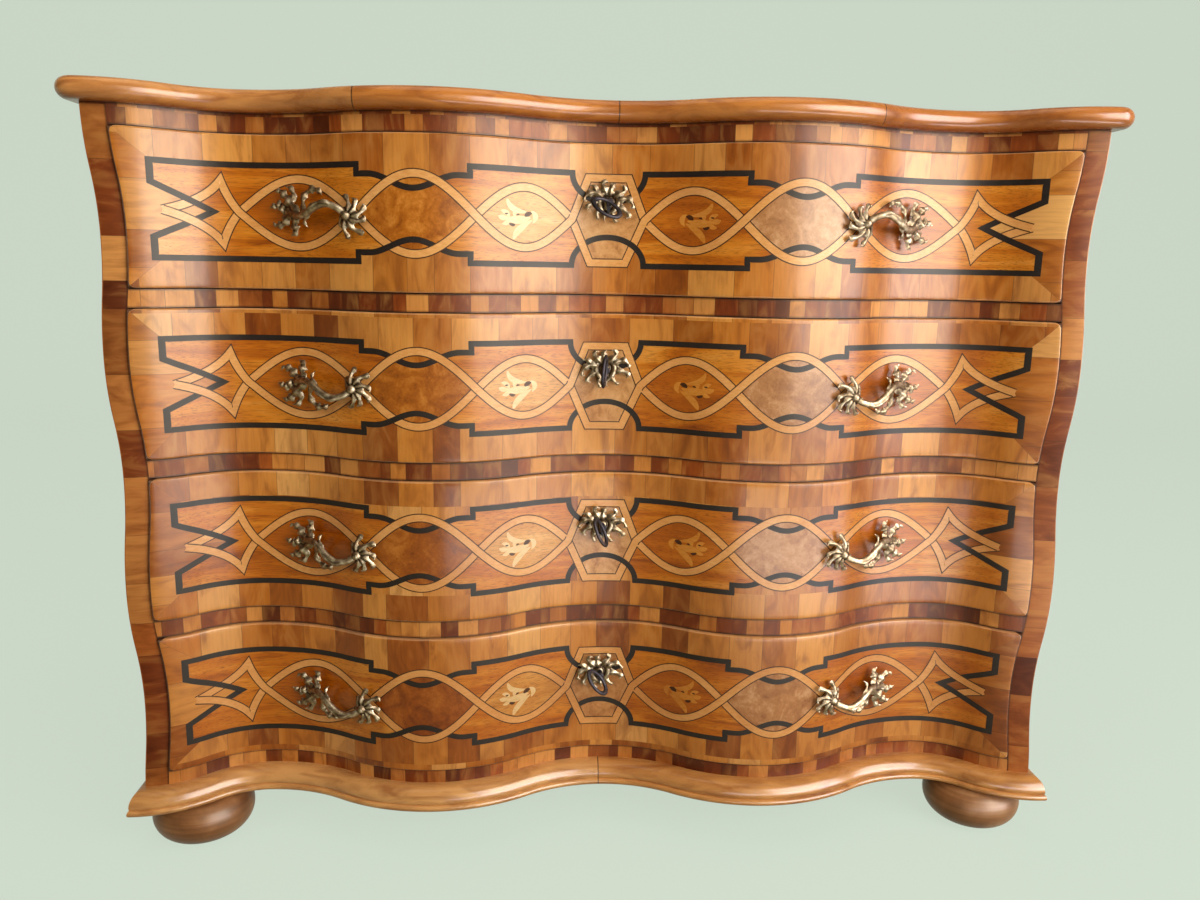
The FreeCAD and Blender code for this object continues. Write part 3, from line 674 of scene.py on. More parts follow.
@dataclass(frozen=True)
class Blocks:
    """A row of short veneer blocks whose grain runs across the row."""

    width: float
    tones: Ramp
    seed: float = 0.0
    joint: float = 0.5 * MM
    joint_dark: float = 0.7
    rows_per_metre: float = 9.0
    row_shift: float = 3.37
    fibre: tuple[float, float] = (330.0, 22.0)
    fibre_dark: float = 0.26
    streak: tuple[float, float] = (46.0, 15.0)
    streak_dark: float = 0.5
    streak_pale: float = 0.26

    def draw(self, shader: Shader, along: Value, across: Value, level: Value) -> tuple[Socket, Socket]:
        """Draws the row.

        Args:
            shader: the material in the making.
            along: the length along the row.
            across: the length along the grain.
            level: a third length, which keeps rows apart.

        Returns:
            The colour and the grain.
        """
        row = shader.math("FLOOR", shader.times(level, self.rows_per_metre))
        shift = shader.sum(self.seed, shader.times(row, self.row_shift))
        run = shader.sum(shader.times(along, 1 / self.width), shift)
        block = shader.cells(run).outputs["Color"]
        tone, other, _ = shader.split(block)
        colour = shader.ramp(tone, self.tones)
        fibre = shader.point(
            shader.sum(shader.times(along, self.fibre[0]), shader.times(other, 40)),
            shader.times(across, self.fibre[1]),
            shader.times(other, 17),
        )
        grain = shader.noise(fibre, 1.0, 4, 0.6)
        streak = shader.streaks((along, across, other), (*self.streak, 31), 4, 1.4)
        fibres = shader.times(shader.within(grain, 0.4, 0.8), self.fibre_dark)
        dark = shader.times(shader.within(streak, 0.5, 0.72), self.streak_dark)
        pale = shader.times(shader.within(streak, 0.5, 0.28), self.streak_pale)
        for share in (fibres, dark):
            colour = shader.mix(share, colour, DARK_GRAIN, "MULTIPLY")
        colour = shader.mix(pale, colour, PALE_GRAIN)
        gap = shader.cells(run, "DISTANCE_TO_EDGE").outputs["Distance"]
        seam = shader.within(gap, self.joint / self.width, 0.0)
        return shader.mix(shader.times(seam, self.joint_dark), colour, SEAM), grain


DARK_GRAIN = srgb(134, 70, 24)
PALE_GRAIN = srgb(230, 166, 86)
# Tint for the polish's clouding and for its painted shade near the floor.
CLOUD_AND_SHADE_TINT = srgb(172, 132, 88)
SEAM = srgb(62, 34, 20)
PORES = srgb(128, 76, 38)
RAIL_TONES = shades(
    (0.0, 204, 128, 52), (0.18, 222, 152, 76), (0.3, 164, 80, 24), (0.48, 124, 54, 16),
    (0.68, 92, 38, 12), (0.84, 138, 64, 20), (1.0, 200, 124, 50),
)
BORDER_TONES = shades(
    (0.0, 140, 68, 12), (0.2, 172, 92, 20), (0.4, 222, 150, 68), (0.55, 198, 116, 34),
    (0.7, 156, 80, 16), (0.85, 208, 130, 46), (1.0, 236, 176, 100),
)
STILE_TONES = shades(
    (0.0, 208, 140, 72), (0.3, 176, 98, 40), (0.55, 132, 64, 26), (0.8, 100, 46, 20), (1.0, 196, 120, 54)
)


@dataclass(frozen=True)
class Crossband:
    """Crossbanding on the rails and stiles, darkened along its edges by a painted gap shadow."""

    name: str
    row: Axis
    blocks: Blocks
    polish: Polish
    # Width of the painted gap shadow along the veneer's edges.
    grime_and_gap_shade: float = 2.6 * MM

    def material(self) -> Material:
        """The polished crossbanding.

        Returns:
            The material.
        """
        shader = Shader(self.name)
        x, _, z = shader.place()
        level = shader.times(shader.math("SIGN", x), 0.5)
        lengths = (x, z, z) if self.row is Axis.ACROSS else (z, x, level)
        colour, grain = self.blocks.draw(shader, *lengths)
        to_end, to_level = shader.mapped("edges")
        to_edge = shader.math("MINIMUM", to_end, to_level)
        # Painted shadow: a patchy dark band along the edges beside the drawers stands for the shade in the
        # gaps.
        patchy = shader.noise(shader.point(x, 0.0, z), 60, 3)
        grime_and_gap_shade = shader.times(shader.within(to_edge, self.grime_and_gap_shade, 0.0), shader.sum(0.45, patchy))
        colour = shader.mix(grime_and_gap_shade, colour, srgb(52, 28, 18))
        return self.polish.lay(shader, colour, grain)


@dataclass(frozen=True)
class DrawerBorder:
    """Crossbanding round a drawer front, mitred at its corners and pale along its edges: partly wear, partly
    a painted highlight on the rounded arris.
    """

    name: str = "drawer_crossbanding"
    wear_and_highlight: float = 1.5 * MM

    def material(self) -> Material:
        """The polished border.

        Returns:
            The material.
        """
        shader = Shader(self.name)
        x, _, z = shader.place()
        to_end, to_level = shader.mapped("edges")
        level_blocks = Blocks(42 * MM, BORDER_TONES, seed=11.3)
        end_blocks = Blocks(46 * MM, BORDER_TONES, seed=47.1)
        level_row, level_grain = level_blocks.draw(shader, x, z, z)
        end_row, end_grain = end_blocks.draw(shader, z, x, x)
        at_end = shader.math("LESS_THAN", to_end, to_level)
        colour = shader.mix(at_end, level_row, end_row)
        grain = shader.mix(at_end, level_grain, end_grain)
        to_mitre = shader.apart(to_end, to_level)
        mitre = shader.within(to_mitre, 0.5 * MM, 0.0)
        colour = shader.mix(shader.times(mitre, 0.5), colour, srgb(84, 48, 26))
        # Pale edge: worn veneer, and a painted highlight where the rounded arris catches the light.
        to_edge = shader.math("MINIMUM", to_end, to_level)
        chips = shader.noise(shader.point(x, 0.0, z), 140, 3)
        ragged = shader.sum(self.wear_and_highlight * 0.4, shader.times(chips, self.wear_and_highlight))
        worn = shader.math("LESS_THAN", to_edge, ragged)
        colour = shader.mix(shader.times(worn, 0.3), colour, srgb(238, 200, 150))
        return Polish().lay(shader, colour, grain)


@dataclass(frozen=True)
class Figured:
    """Figured walnut whose grain wanders along the chest, or as its scales along x, y and z say."""

    name: str
    tones: Ramp
    stretch: tuple[float, float, float] = (5.0, 1.0, 46.0)
    pores: tuple[float, float, float] = (60.0, 300.0, 900.0)
    polish: Polish = Polish()

    def material(self) -> Material:
        """The polished sheet.

        Returns:
            The material.
        """
        shader = Shader(self.name)
        x, y, z = shader.place()
        figure = shader.streaks((x, y, z), self.stretch, 4, 1.6)
        cloud = shader.noise(shader.point(x, y, z), 7.0, 2, 0.8)
        share = shader.sum(shader.times(figure, 0.65), shader.times(cloud, 0.35))
        colour = shader.ramp(shader.within(share, 0.3, 0.7), self.tones)
        pores = shader.streaks((x, y, z), self.pores, 4, 0.5)
        colour = shader.mix(shader.within(pores, 0.5, 0.85), colour, PORES, "MULTIPLY")
        return self.polish.lay(shader, colour, pores)


@dataclass(frozen=True)
class Burl:
    """Mottled root veneer."""

    name: str
    tones: Ramp
    swirl: float = 34.0
    polish: Polish = Polish()

    def material(self) -> Material:
        """The polished burl.

        Returns:
            The material.
        """
        shader = Shader(self.name)
        place = shader.point(*shader.place())
        swirl = shader.noise(place, self.swirl, 5, 1.5)
        eyes = shader.noise(place, 260, 3, 0.8)
        share = shader.sum(shader.times(swirl, 0.7), shader.times(eyes, 0.3))
        colour = shader.ramp(shader.within(share, 0.3, 0.7), self.tones)
        return self.polish.lay(shader, colour, eyes)


@dataclass(frozen=True)
class Inlay:
    """A plain wood let into the veneer."""

    name: str
    dark: Colour
    light: Colour
    polish: Polish = Polish()

    def material(self) -> Material:
        """The polished inlay.

        Returns:
            The material.
        """
        shader = Shader(self.name)
        x, _, z = shader.place()
        grain = shader.streaks((x, 0.0, z), (150, 1, 420), 4, 0.8)
        patch = shader.noise(shader.point(x, 0.0, z), 18, 2)
        share = shader.sum(shader.times(grain, 0.6), shader.times(patch, 0.4))
        colour = shader.mix(shader.within(share, 0.3, 0.7), self.dark, self.light)
        return self.polish.lay(shader, colour, grain)


@dataclass(frozen=True)
class MouldedWood:
    """Solid walnut run along a moulding, in lengths that differ in tone."""

    name: str
    joints: tuple[float, ...]
    tones: tuple[Colour, ...]
    dark: Colour = srgb(150, 92, 46)
    span: float = 0.7
    streaks: tuple[float, float, float] = (12.0, 40.0, 70.0)
    pores: tuple[float, float, float] = (60.0, 500.0, 800.0)
    figure: float = 0.6
    pore_dark: float = 0.3
    joint_dark: float = 0.85
    polish: Polish = Polish(roughness=0.26, film=0.2, darkening=0.08)

    def material(self) -> Material:
        """The polished moulding.

        Returns:
            The material.
        """
        shader = Shader(self.name)
        x, y, z = shader.place()
        starts = (-self.span,) + self.joints
        stops = [((start + self.span) / (2 * self.span), tone) for start, tone in zip(starts, self.tones)]
        share = shader.within(x, -self.span, self.span)
        tone = shader.ramp(share, stops, stepped=True)
        streaks = shader.streaks((x, y, z), self.streaks, 4, 1.2)
        pores = shader.streaks((x, y, z), self.pores, 3, 0.4)
        figure = shader.times(shader.within(streaks, 0.42, 0.72), self.figure)
        colour = shader.mix(figure, tone, self.dark, "MULTIPLY")
        fine = shader.times(shader.within(pores, 0.5, 0.8), self.pore_dark)
        colour = shader.mix(fine, colour, self.dark, "MULTIPLY")
        for joint in self.joints:
            from_joint = shader.apart(x, joint)
            seam = shader.within(from_joint, 1.1 * MM, 0.3 * MM)
            colour = shader.mix(shader.times(seam, self.joint_dark), colour, srgb(58, 32, 18))
        return self.polish.lay(shader, colour, pores)


@dataclass(frozen=True)
class TopVeneer:
    """The chest's top: a figured field, dark lines and a crossbanded border that follows the wave."""

    name: str = "top_veneer"
    border: float = 62 * MM
    line: float = 5 * MM
    block: float = 46 * MM

    def material(self) -> Material:
        """The polished top.

        Returns:
            The material.
        """
        shader = Shader(self.name)
        x, y, z = shader.place()
        to_end, to_level = shader.mapped("edges")
        figure = shader.streaks((x, y, z), (4.0, 30.0, 1.0), 4, 1.8)
        colour = shader.ramp(shader.within(figure, 0.32, 0.68), FIELD_TONES)
        pores = shader.streaks((x, y, z), (60.0, 700.0, 1.0), 4, 0.5)
        colour = shader.mix(shader.within(pores, 0.5, 0.85), colour, PORES, "MULTIPLY")
        level_row, _ = Blocks(self.block, BORDER_TONES, seed=5.1).draw(shader, x, y, z)
        end_row, _ = Blocks(self.block, BORDER_TONES, seed=23.7).draw(shader, y, x, z)
        at_end = shader.math("LESS_THAN", to_end, to_level)
        banding = shader.mix(at_end, level_row, end_row)
        to_edge = shader.math("MINIMUM", to_end, to_level)
        on_border = shader.math("LESS_THAN", to_edge, self.border)
        colour = shader.mix(on_border, colour, banding)
        from_line = shader.apart(to_edge, self.border)
        on_line = shader.math("LESS_THAN", from_line, self.line / 2)
        colour = shader.mix(on_line, colour, srgb(34, 26, 24))
        return Polish().lay(shader, colour, pores)


@dataclass(frozen=True)
class BareSoftwood:
    """Aged bare softwood with its growth rings along the boards."""

    name: str
    grain: tuple[float, float, float]
    tones: Ramp = shades((0.0, 168, 124, 76), (0.5, 200, 158, 106), (1.0, 216, 180, 130))

    def material(self) -> Material:
        """The dry wood.

        Returns:
            The material.
        """
        shader = Shader(self.name)
        x, y, z = shader.place()
        rings = shader.streaks((x, y, z), self.grain, 3, 1.4)
        # Grime: blotchy darkening all over the bare boards.
        grime_and_gap_shade = shader.noise(shader.point(x, y, z), 6.0, 4)
        colour = shader.ramp(shader.within(rings, 0.3, 0.7), self.tones)
        colour = shader.mix(shader.within(grime_and_gap_shade, 0.45, 0.8), colour, srgb(176, 142, 106), "MULTIPLY")
        shader.relief(rings, 0.2 * MM)
        return shader.done(Base_Color=colour, Roughness=0.72)


@dataclass(frozen=True)
class TurnedStain:
    """Dark stained wood with the lathe's fine rings."""

    name: str = "stained_feet"
    tones: Ramp = shades((0.0, 108, 66, 36), (0.55, 156, 106, 62), (1.0, 188, 142, 94))
    rings: tuple[float, float, float] = (6.0, 6.0, 260.0)
    polish: Polish = Polish(roughness=0.42, film=0.05)

    def material(self) -> Material:
        """The polished stain.

        Returns:
            The material.
        """
        shader = Shader(self.name)
        x, y, z = shader.place()
        rings = shader.streaks((x, y, z), self.rings, 3, 0)
        worn = shader.noise(shader.point(x, y, z), 30, 4)
        share = shader.sum(shader.times(rings, 0.4), shader.times(worn, 0.6))
        colour = shader.ramp(shader.within(share, 0.3, 0.72), self.tones)
        return self.polish.lay(shader, colour, rings)


@dataclass(frozen=True)
class GiltBronze:
    """Cast bronze with worn gilding, dark in its hollows."""

    name: str = "gilt_bronze"
    tones: Ramp = shades((0.0, 96, 72, 44), (0.5, 134, 108, 72), (1.0, 174, 150, 110))
    # The patina in the casting's hollows.
    darkening: Colour = srgb(48, 31, 16)

    def material(self) -> Material:
        """The aged casting.

        Returns:
            The material.
        """
        shader = Shader(self.name)
        place = shader.point(*shader.place())
        hollow = shader.node("Attribute", {}, attribute_name="hollow").outputs["Fac"]
        patch = shader.noise(place, 160, 4)
        colour = shader.ramp(shader.within(patch, 0.3, 0.7), self.tones)
        colour = shader.mix(shader.within(hollow, 0.45, 0.6), colour, self.darkening)
        rough = shader.sum(0.36, shader.times(shader.noise(place, 420, 3), 0.2))
        shader.relief(shader.noise(place, 700, 3), 0.12 * MM)
        return shader.done(Base_Color=colour, Roughness=rough, Metallic=1.0)


@dataclass(frozen=True)
class WroughtIron:
    """Dark forged iron with a little rust."""

    name: str = "wrought_iron"
    tones: Ramp = shades((0.0, 36, 29, 24), (0.6, 52, 42, 34), (1.0, 84, 56, 36))

    def material(self) -> Material:
        """The blackened iron.

        Returns:
            The material.
        """
        shader = Shader(self.name)
        place = shader.point(*shader.place())
        rust = shader.noise(place, 90, 5, 0.6)
        colour = shader.ramp(shader.within(rust, 0.35, 0.75), self.tones)
        shader.relief(shader.noise(place, 500, 4), 0.1 * MM)
        rough = shader.sum(0.36, shader.times(rust, 0.3))
        return shader.done(Base_Color=colour, Roughness=rough, Metallic=0.85)


FIELD_TONES = shades((0.0, 144, 66, 4), (0.35, 192, 102, 10), (0.65, 214, 130, 32), (1.0, 228, 156, 66))
EYE_TONES = shades((0.0, 144, 66, 4), (0.5, 184, 94, 8), (1.0, 210, 124, 28))
OVAL_TONES = shades((0.0, 126, 58, 4), (0.5, 178, 98, 18), (1.0, 216, 138, 52))
PALE_OVAL_TONES = shades((0.0, 138, 82, 40), (0.5, 182, 122, 70), (1.0, 214, 162, 110))
PALE_TONES = shades((0.0, 188, 110, 30), (0.5, 214, 144, 62), (1.0, 230, 172, 94))
SIDE_TONES = shades((0.0, 132, 66, 18), (0.45, 170, 94, 30), (1.0, 202, 130, 54))
# Dark brown for the cores of the fronts, rails and stiles: painted shade where they show in the gaps.
GAP_SHADE_TONES = shades((0.0, 64, 36, 20), (0.5, 88, 52, 30), (1.0, 112, 70, 42))
CARTOUCHE_TONES = shades((0.0, 154, 92, 42), (0.5, 206, 144, 82), (1.0, 228, 174, 112))
# Deeper painted shade towards the floor, for the dark ovals.
DEEP_FLOOR_SHADE = Polish(darkening=0.8)
MATT_FILM = Polish(roughness=0.4, shine=0.24, film=0.03)
RAIL_POLISH = Polish(roughness=0.36, shine=0.24, film=0.03)
STILE_POLISH = Polish(roughness=0.4, shine=0.1, film=0.01)
MAPLE = Inlay("maple_straps", srgb(214, 140, 66), srgb(236, 174, 102))
LINES = Inlay("dark_stringing", srgb(52, 28, 14), srgb(84, 46, 22), MATT_FILM)
EBONY = Inlay("blackened_bands", srgb(20, 14, 13), srgb(40, 29, 26), MATT_FILM)
PALE_MOTIF = Inlay("pale_sprig", srgb(224, 178, 112), srgb(243, 210, 150))
AMBER_MOTIF = Inlay("amber_sprig", srgb(196, 116, 26), srgb(224, 150, 60))
DARK_MOTIF = Inlay("scorched_berries", srgb(44, 22, 8), srgb(82, 40, 10), MATT_FILM)


# Carcase
@dataclass(frozen=True)
class Carcase:
    """The veneered outside of the chest: rails, stiles, sides, top, mouldings and feet."""

    body: str = "carcase"
    top_overhang: float = 22 * MM
    base_overhang: float = 26 * MM
    base_end_overhang: float = 14 * MM
    base_fillet: float = 8 * MM
    base_step: float = 3 * MM
    base_round: float = 17 * MM
    veneer: float = 0.9 * MM
    columns: int = 300
    top_joints: tuple[float, float, float] = (-285 * MM, 10 * MM, 310 * MM)
    top_joint_gap: float = 0.15 * MM
    base_joint_gap: float = 0.1 * MM
    foot_radius: float = 62 * MM
    foot_floor_radius: float = 30 * MM
    foot_neck_radius: float = 42 * MM

    def build(self) -> None:
        """Makes every piece."""
        self.rails()
        self.stiles()
        self.sides()
        self.top()
        self.top_moulding()
        self.base_moulding()
        self.feet()

    def rails(self) -> None:
        """Crossbanded strips on the fronts of the five rails."""
        blocks = Blocks(21 * MM, RAIL_TONES, seed=2.6)
        finish = Crossband("rail_crossbanding", Axis.ACROSS, blocks, RAIL_POLISH).material()
        for node in ("top_rail", "divider_rail_1", "divider_rail_2", "divider_rail_3", "bottom_rail"):
            low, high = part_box(node)

            def strip(u: Array, v: Array) -> Array:
                """The rail's face.

                Args:
                    u: shares across.
                    v: shares up.

                Returns:
                    The points.
                """
                z = low.z + (high.z - low.z) * v
                x = (2 * u - 1) * (EDGE.x(z) - STILE_WIDTH)
                return stacked(x, WAVE.y(x, SKIN), z)

            banding = sheet(node + "_crossbanding", self.columns, 8, strip)
            points = points_of(banding)
            to_level = np.minimum(points[:, 2] - low.z, high.z - points[:, 2])
            to_end = EDGE.x(points[:, 2]) - np.abs(points[:, 0])
            map_edges(banding, to_end, to_level)
            dressed(thicken(banding, self.veneer), finish, self.body)

    def stiles(self) -> None:
        """Banded strips on the corner posts, their grain level."""
        blocks = Blocks(56 * MM, STILE_TONES, seed=8.2)
        finish = Crossband("stile_crossbanding", Axis.UP, blocks, STILE_POLISH).material()
        for side, name in zip(SIDES, ("left", "right")):

            def strip(u: Array, v: Array) -> Array:
                """The stile's face.

                Args:
                    u: shares inwards.
                    v: shares up.

                Returns:
                    The points.
                """
                z = EDGE.foot_z + (EDGE.top_z - EDGE.foot_z) * v
                x = EDGE.x(z) + SKIN - (STILE_WIDTH + SKIN) * u
                return stacked(side * x, WAVE.y(x, SKIN), z)

            banding = sheet(name + "_stile_crossbanding", 10, 200, strip)
            points = points_of(banding)
            to_drawer = np.abs(points[:, 0]) - EDGE.x(points[:, 2]) + STILE_WIDTH
            to_level = np.minimum(points[:, 2] - EDGE.foot_z, EDGE.top_z - points[:, 2])
            map_edges(banding, to_drawer, to_level)
            dressed(thicken(banding, self.veneer), finish, self.body)

    def sides(self) -> None:
        """Figured sheets on the waved sides."""
        finish = Figured("side_veneer", SIDE_TONES, (1.0, 34.0, 3.5), (60.0, 900.0, 50.0)).material()
        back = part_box("left_side")[1].y
        for side, name in zip(SIDES, ("left", "right")):

            def panel(u: Array, v: Array) -> Array:
                """The side's face.

                Args:
                    u: shares back.
                    v: shares up.

                Returns:
                    The points.
                """
                z = EDGE.foot_z + (EDGE.top_z - EDGE.foot_z) * v
                x = EDGE.x(z) + SKIN
                front = WAVE.y(x, SKIN)
                return stacked(side * x, front + (back - front) * u, z)

            veneer = thicken(sheet(name + "_side_veneer", 24, 200, panel), self.veneer, (side, 0, 0))
            dressed(veneer, finish, self.body)

    def top(self) -> None:
        """The veneered top, its border following the wave."""
        top_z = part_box("top_board")[1].z + SKIN
        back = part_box("top_board")[1].y
        half = WAVE.corner_x

        def panel(u: Array, v: Array) -> Array:
            """The top's face.

            Args:
                u: shares across.
                v: shares back.

            Returns:
                The points.
            """
            x = (2 * u - 1) * half
            front = WAVE.y(x, 0.0)
            return stacked(x, front + (back - front) * v, top_z)

        veneer = sheet("top_veneer", self.columns, 60, panel)
        points = points_of(veneer)
        to_end = half - np.abs(points[:, 0])
        to_level = np.minimum(points[:, 1] - WAVE.y(points[:, 0], 0.0), back - points[:, 1])
        map_edges(veneer, to_end, to_level)
        thicken(veneer, self.veneer, (0, 0, 1))
        dressed(veneer, TopVeneer().material(), self.body)

    def nose(self, height: float) -> Array:
        """The half-round profile of the top moulding: how far out and how high, from its foot.

        Args:
            height: the moulding's height.

        Returns:
            The profile.
        """
        radius = height / 2
        turn = np.linspace(-math.pi / 2, math.pi / 2, 25)
        out = self.top_overhang - radius + SKIN + radius * np.cos(turn)
        up = radius + radius * np.sin(turn)
        return np.concatenate([[[0, 0]], np.stack([out, up], axis=1), [[0, height]], [[0, 0]]])

    def ovolo(self, height: float) -> Array:
        """The profile of the base moulding: a fillet and a quarter round over it.

        Args:
            height: the moulding's height.

        Returns:
            The profile.
        """
        upper = self.base_overhang - self.base_step
        turn = np.linspace(0, math.pi / 2, 15)
        out = upper - self.base_round + self.base_round * np.cos(turn)
        up = height - self.base_round + self.base_round * np.sin(turn)
        nose = self.base_fillet / 2
        bend = np.linspace(-math.pi / 2, math.pi / 2, 13)
        bead_out = self.base_overhang - nose + nose * np.cos(bend)
        bead = np.stack([bead_out, nose + nose * np.sin(bend)], axis=1)
        return np.concatenate([[[0, 0]], bead, np.stack([out, up], axis=1), [[0, height]], [[0, 0]]])

    def corner(self, profile: Array, foot: float, side: int) -> Piece:
        """A rounded corner of the top moulding.

        Args:
            profile: rows of how far out and how high.
            foot: the height of its underside.
            side: -1 for the left, 1 for the right.

        Returns:
            The closed corner.
        """

        def turned(u: Array, out: Array, up: Array) -> Array:
            """The corner.

            Args:
                u: shares of the sweep.
                out: lengths outwards.
                up: lengths upwards.

            Returns:
                The points.
            """
            angle = math.pi / 2 * u
            x = WAVE.corner_x + out * np.sin(angle)
            return stacked(side * x, WAVE.crest_y - out * np.cos(angle), foot + up)

        return swept("corner", 16, profile, turned)

    def moulding(self, name: str, profile: Array, foot: float, ends: tuple, columns: int) -> Piece:
        """A length of moulding along the front.

        Args:
            name: the piece's name.
            profile: rows of how far out and how high.
            foot: the height of its underside.
            ends: for each end, its place and how far it runs on for each unit out, at a mitre.
            columns: faces along it.

        Returns:
            The closed length.
        """
        (start, start_run), (end, end_run) = ends

        def run(u: Array, out: Array, up: Array) -> Array:
            """The length.

            Args:
                u: shares of the sweep.
                out: lengths outwards.
                up: lengths upwards.

            Returns:
                The points.
            """
            from_x = start + start_run * out
            x = from_x + (end + end_run * out - from_x) * u
            return stacked(x, WAVE.y(x, out), foot + up)

        return swept(name, columns, profile, run)

    def end_moulding(
        self, name: str, profile: Array, foot: float, side: int, inner: float, share: float
    ) -> Piece:
        """A length of moulding along one end: mitred to the front one, or square where its share is whole.

        Args:
            name: the piece's name.
            profile: rows of how far out and how high.
            foot: the height of its underside.
            side: -1 for the left, 1 for the right.
            inner: where the profile starts, from the middle.
            share: how much of the profile's reach it has.

        Returns:
            The closed length.
        """
        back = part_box("back_boards")[1].y
        mitre = share < 1

        def run(u: Array, out: Array, up: Array) -> Array:
            """The length, by its share back and the profile's lengths."""
            front = WAVE.crest_y - out * mitre
            return stacked(side * (inner + share * out), front + (back - front) * u, foot + up)

        return swept(name, 40, profile, run)

    def top_moulding(self) -> None:
        """The half-round moulding in four lengths and two ends."""
        low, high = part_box("top_moulding")
        profile = self.nose(high.z - low.z)
        half = WAVE.corner_x
        gap = self.top_joint_gap
        stops = (-half - gap,) + self.top_joints + (half + gap,)
        lengths = []
        for number, (start, end) in enumerate(zip(stops, stops[1:]), start=1):
            ends = ((start + gap, 0.0), (end - gap, 0.0))
            lengths.append(self.moulding("top_length_%d" % number, profile, low.z, ends, 120))
        for side in SIDES:
            lengths.append(self.corner(profile, low.z, side))
            lengths.append(self.end_moulding("top_end", profile, low.z, side, half, 1.0))
        moulding = joined("top_moulding_lengths", lengths)
        tones = (srgb(212, 142, 74), srgb(202, 124, 52), srgb(208, 130, 58), srgb(190, 114, 50))
        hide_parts("top_moulding")
        finish = MouldedWood("top_moulding", self.top_joints, tones).material()
        dressed(moulding, finish, self.body)

    def base_moulding(self) -> None:
        """The ovolo moulding in two front lengths and two ends."""
        low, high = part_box("base_moulding")
        profile = self.ovolo(high.z - low.z)
        inner = high.x - self.base_end_overhang
        share = self.base_end_overhang / self.base_overhang
        gap = self.base_joint_gap
        right = self.moulding("base_right", profile, low.z, ((gap, 0.0), (inner, share)), 240)
        left = self.moulding("base_left", profile, low.z, ((-gap, 0.0), (-inner, -share)), 240)
        ends = [self.end_moulding("base_end", profile, low.z, side, inner, share) for side in SIDES]
        moulding = joined("base_moulding_lengths", [right, left] + ends)
        tones = (srgb(206, 148, 84), srgb(202, 140, 74))
        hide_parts("base_moulding")
        finish = MouldedWood("base_moulding", (0.0,), tones).material()
        dressed(moulding, finish, self.body)

    def foot_profile(self) -> Array:
        """Rows of radius and height of a turned foot, from its underside to its neck.

        Returns:
            The rows.
        """
        foot = np.array([self.foot_floor_radius, 0.0])
        neck = np.array([self.foot_neck_radius, EDGE.foot_z])
        middle = (foot + neck) / 2
        swell = self.foot_radius - middle[0]
        up = (neck - middle) / np.linalg.norm(neck - middle)
        out = np.array([up[1], -up[0]])
        half = np.linalg.norm(neck - middle)
        radius = (half**2 + swell**2) / (2 * swell)
        reach = math.acos((radius - swell) / radius)
        turn = np.linspace(-reach, reach, 48)[:, None]
        ball = middle + out * (swell - radius + radius * np.cos(turn)) + up * radius * np.sin(turn)
        return np.concatenate([[[0, 0]], ball, [[0, EDGE.foot_z]]])

    def feet(self) -> None:
        """Four turned ball feet."""
        low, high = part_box("bun_feet")

        def turned(u: Array, radius: Array, up: Array) -> Array:
            """The foot, by its share round and the profile's lengths."""
            angle = 2 * math.pi * u
            return stacked(radius * np.cos(angle), radius * np.sin(angle), up)

        pattern = swept("foot_pattern", 96, self.foot_profile(), turned)
        feet = []
        for x in (low.x + self.foot_radius, high.x - self.foot_radius):
            for y in (low.y + self.foot_radius, high.y - self.foot_radius):
                foot = copied(pattern, "foot")
                foot.data.transform(Matrix.Translation((x, y, 0)))
                feet.append(foot)
        removed(pattern)
        feet_piece = joined("turned_feet", feet)
        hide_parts("bun_feet")
        dressed(feet_piece, TurnedStain().material(), self.body)


# Drawer fronts
def curve(start: tuple, pull: tuple, end: tuple, count: int = 14) -> list:
    """Points of a bow from start to end, drawn towards pull, without its last point.

    Args:
        start: the first point.
        pull: the point that bends it.
        end: the last point.
        count: how many points.

    Returns:
        The points.
    """
    first, bend, last = (np.array(point) for point in (start, pull, end))
    shares = np.linspace(0, 1, count, endpoint=False)
    return [tuple((1 - t) ** 2 * first + 2 * t * (1 - t) * bend + t**2 * last) for t in shares]


def swing(start: float, end: float, rise: float, count: int = 40) -> list:
    """Points of a half wave across the drawer's middle line, without its last point."""
    shares = np.linspace(0, 1, count, endpoint=False)
    return [(start + (end - start) * t, rise * math.sin(math.pi * t)) for t in shares]


def spread(points: Sequence[tuple], step: float = 3.0) -> Array:
    """Fills long straight runs of a path with points, in its own units.

    Args:
        points: the path.
        step: the longest gap that is left.

    Returns:
        The filled path.
    """
    filled = []
    for start, end in zip(points, points[1:]):
        count = max(1, math.ceil(math.dist(start, end) / step))
        shares = np.arange(count)[:, None] / count
        filled.append(np.array(start) + shares * (np.array(end) - np.array(start)))
    return np.concatenate(filled + [np.array([points[-1]])])


def mitre_at(path: Array, steps: Array, index: int) -> tuple[Array, Array]:
    """The cut of a band at a point of its path.

    Args:
        path: the band's middle line.
        steps: the unit steps between its points.
        index: the point's number.

    Returns:
        The way along the cut, one unit aside of the band, and the way across the cut.
    """
    looped = np.allclose(path[0], path[-1])
    before = steps[index - 1] if index > 0 or looped else steps[0]
    after = steps[index % len(steps)] if index < len(steps) or looped else steps[-1]
    way = (before + after) / np.linalg.norm(before + after)
    along = np.array([-way[1], way[0]])
    aside = np.array([-after[1], after[0]])
    return along / (along @ aside), way


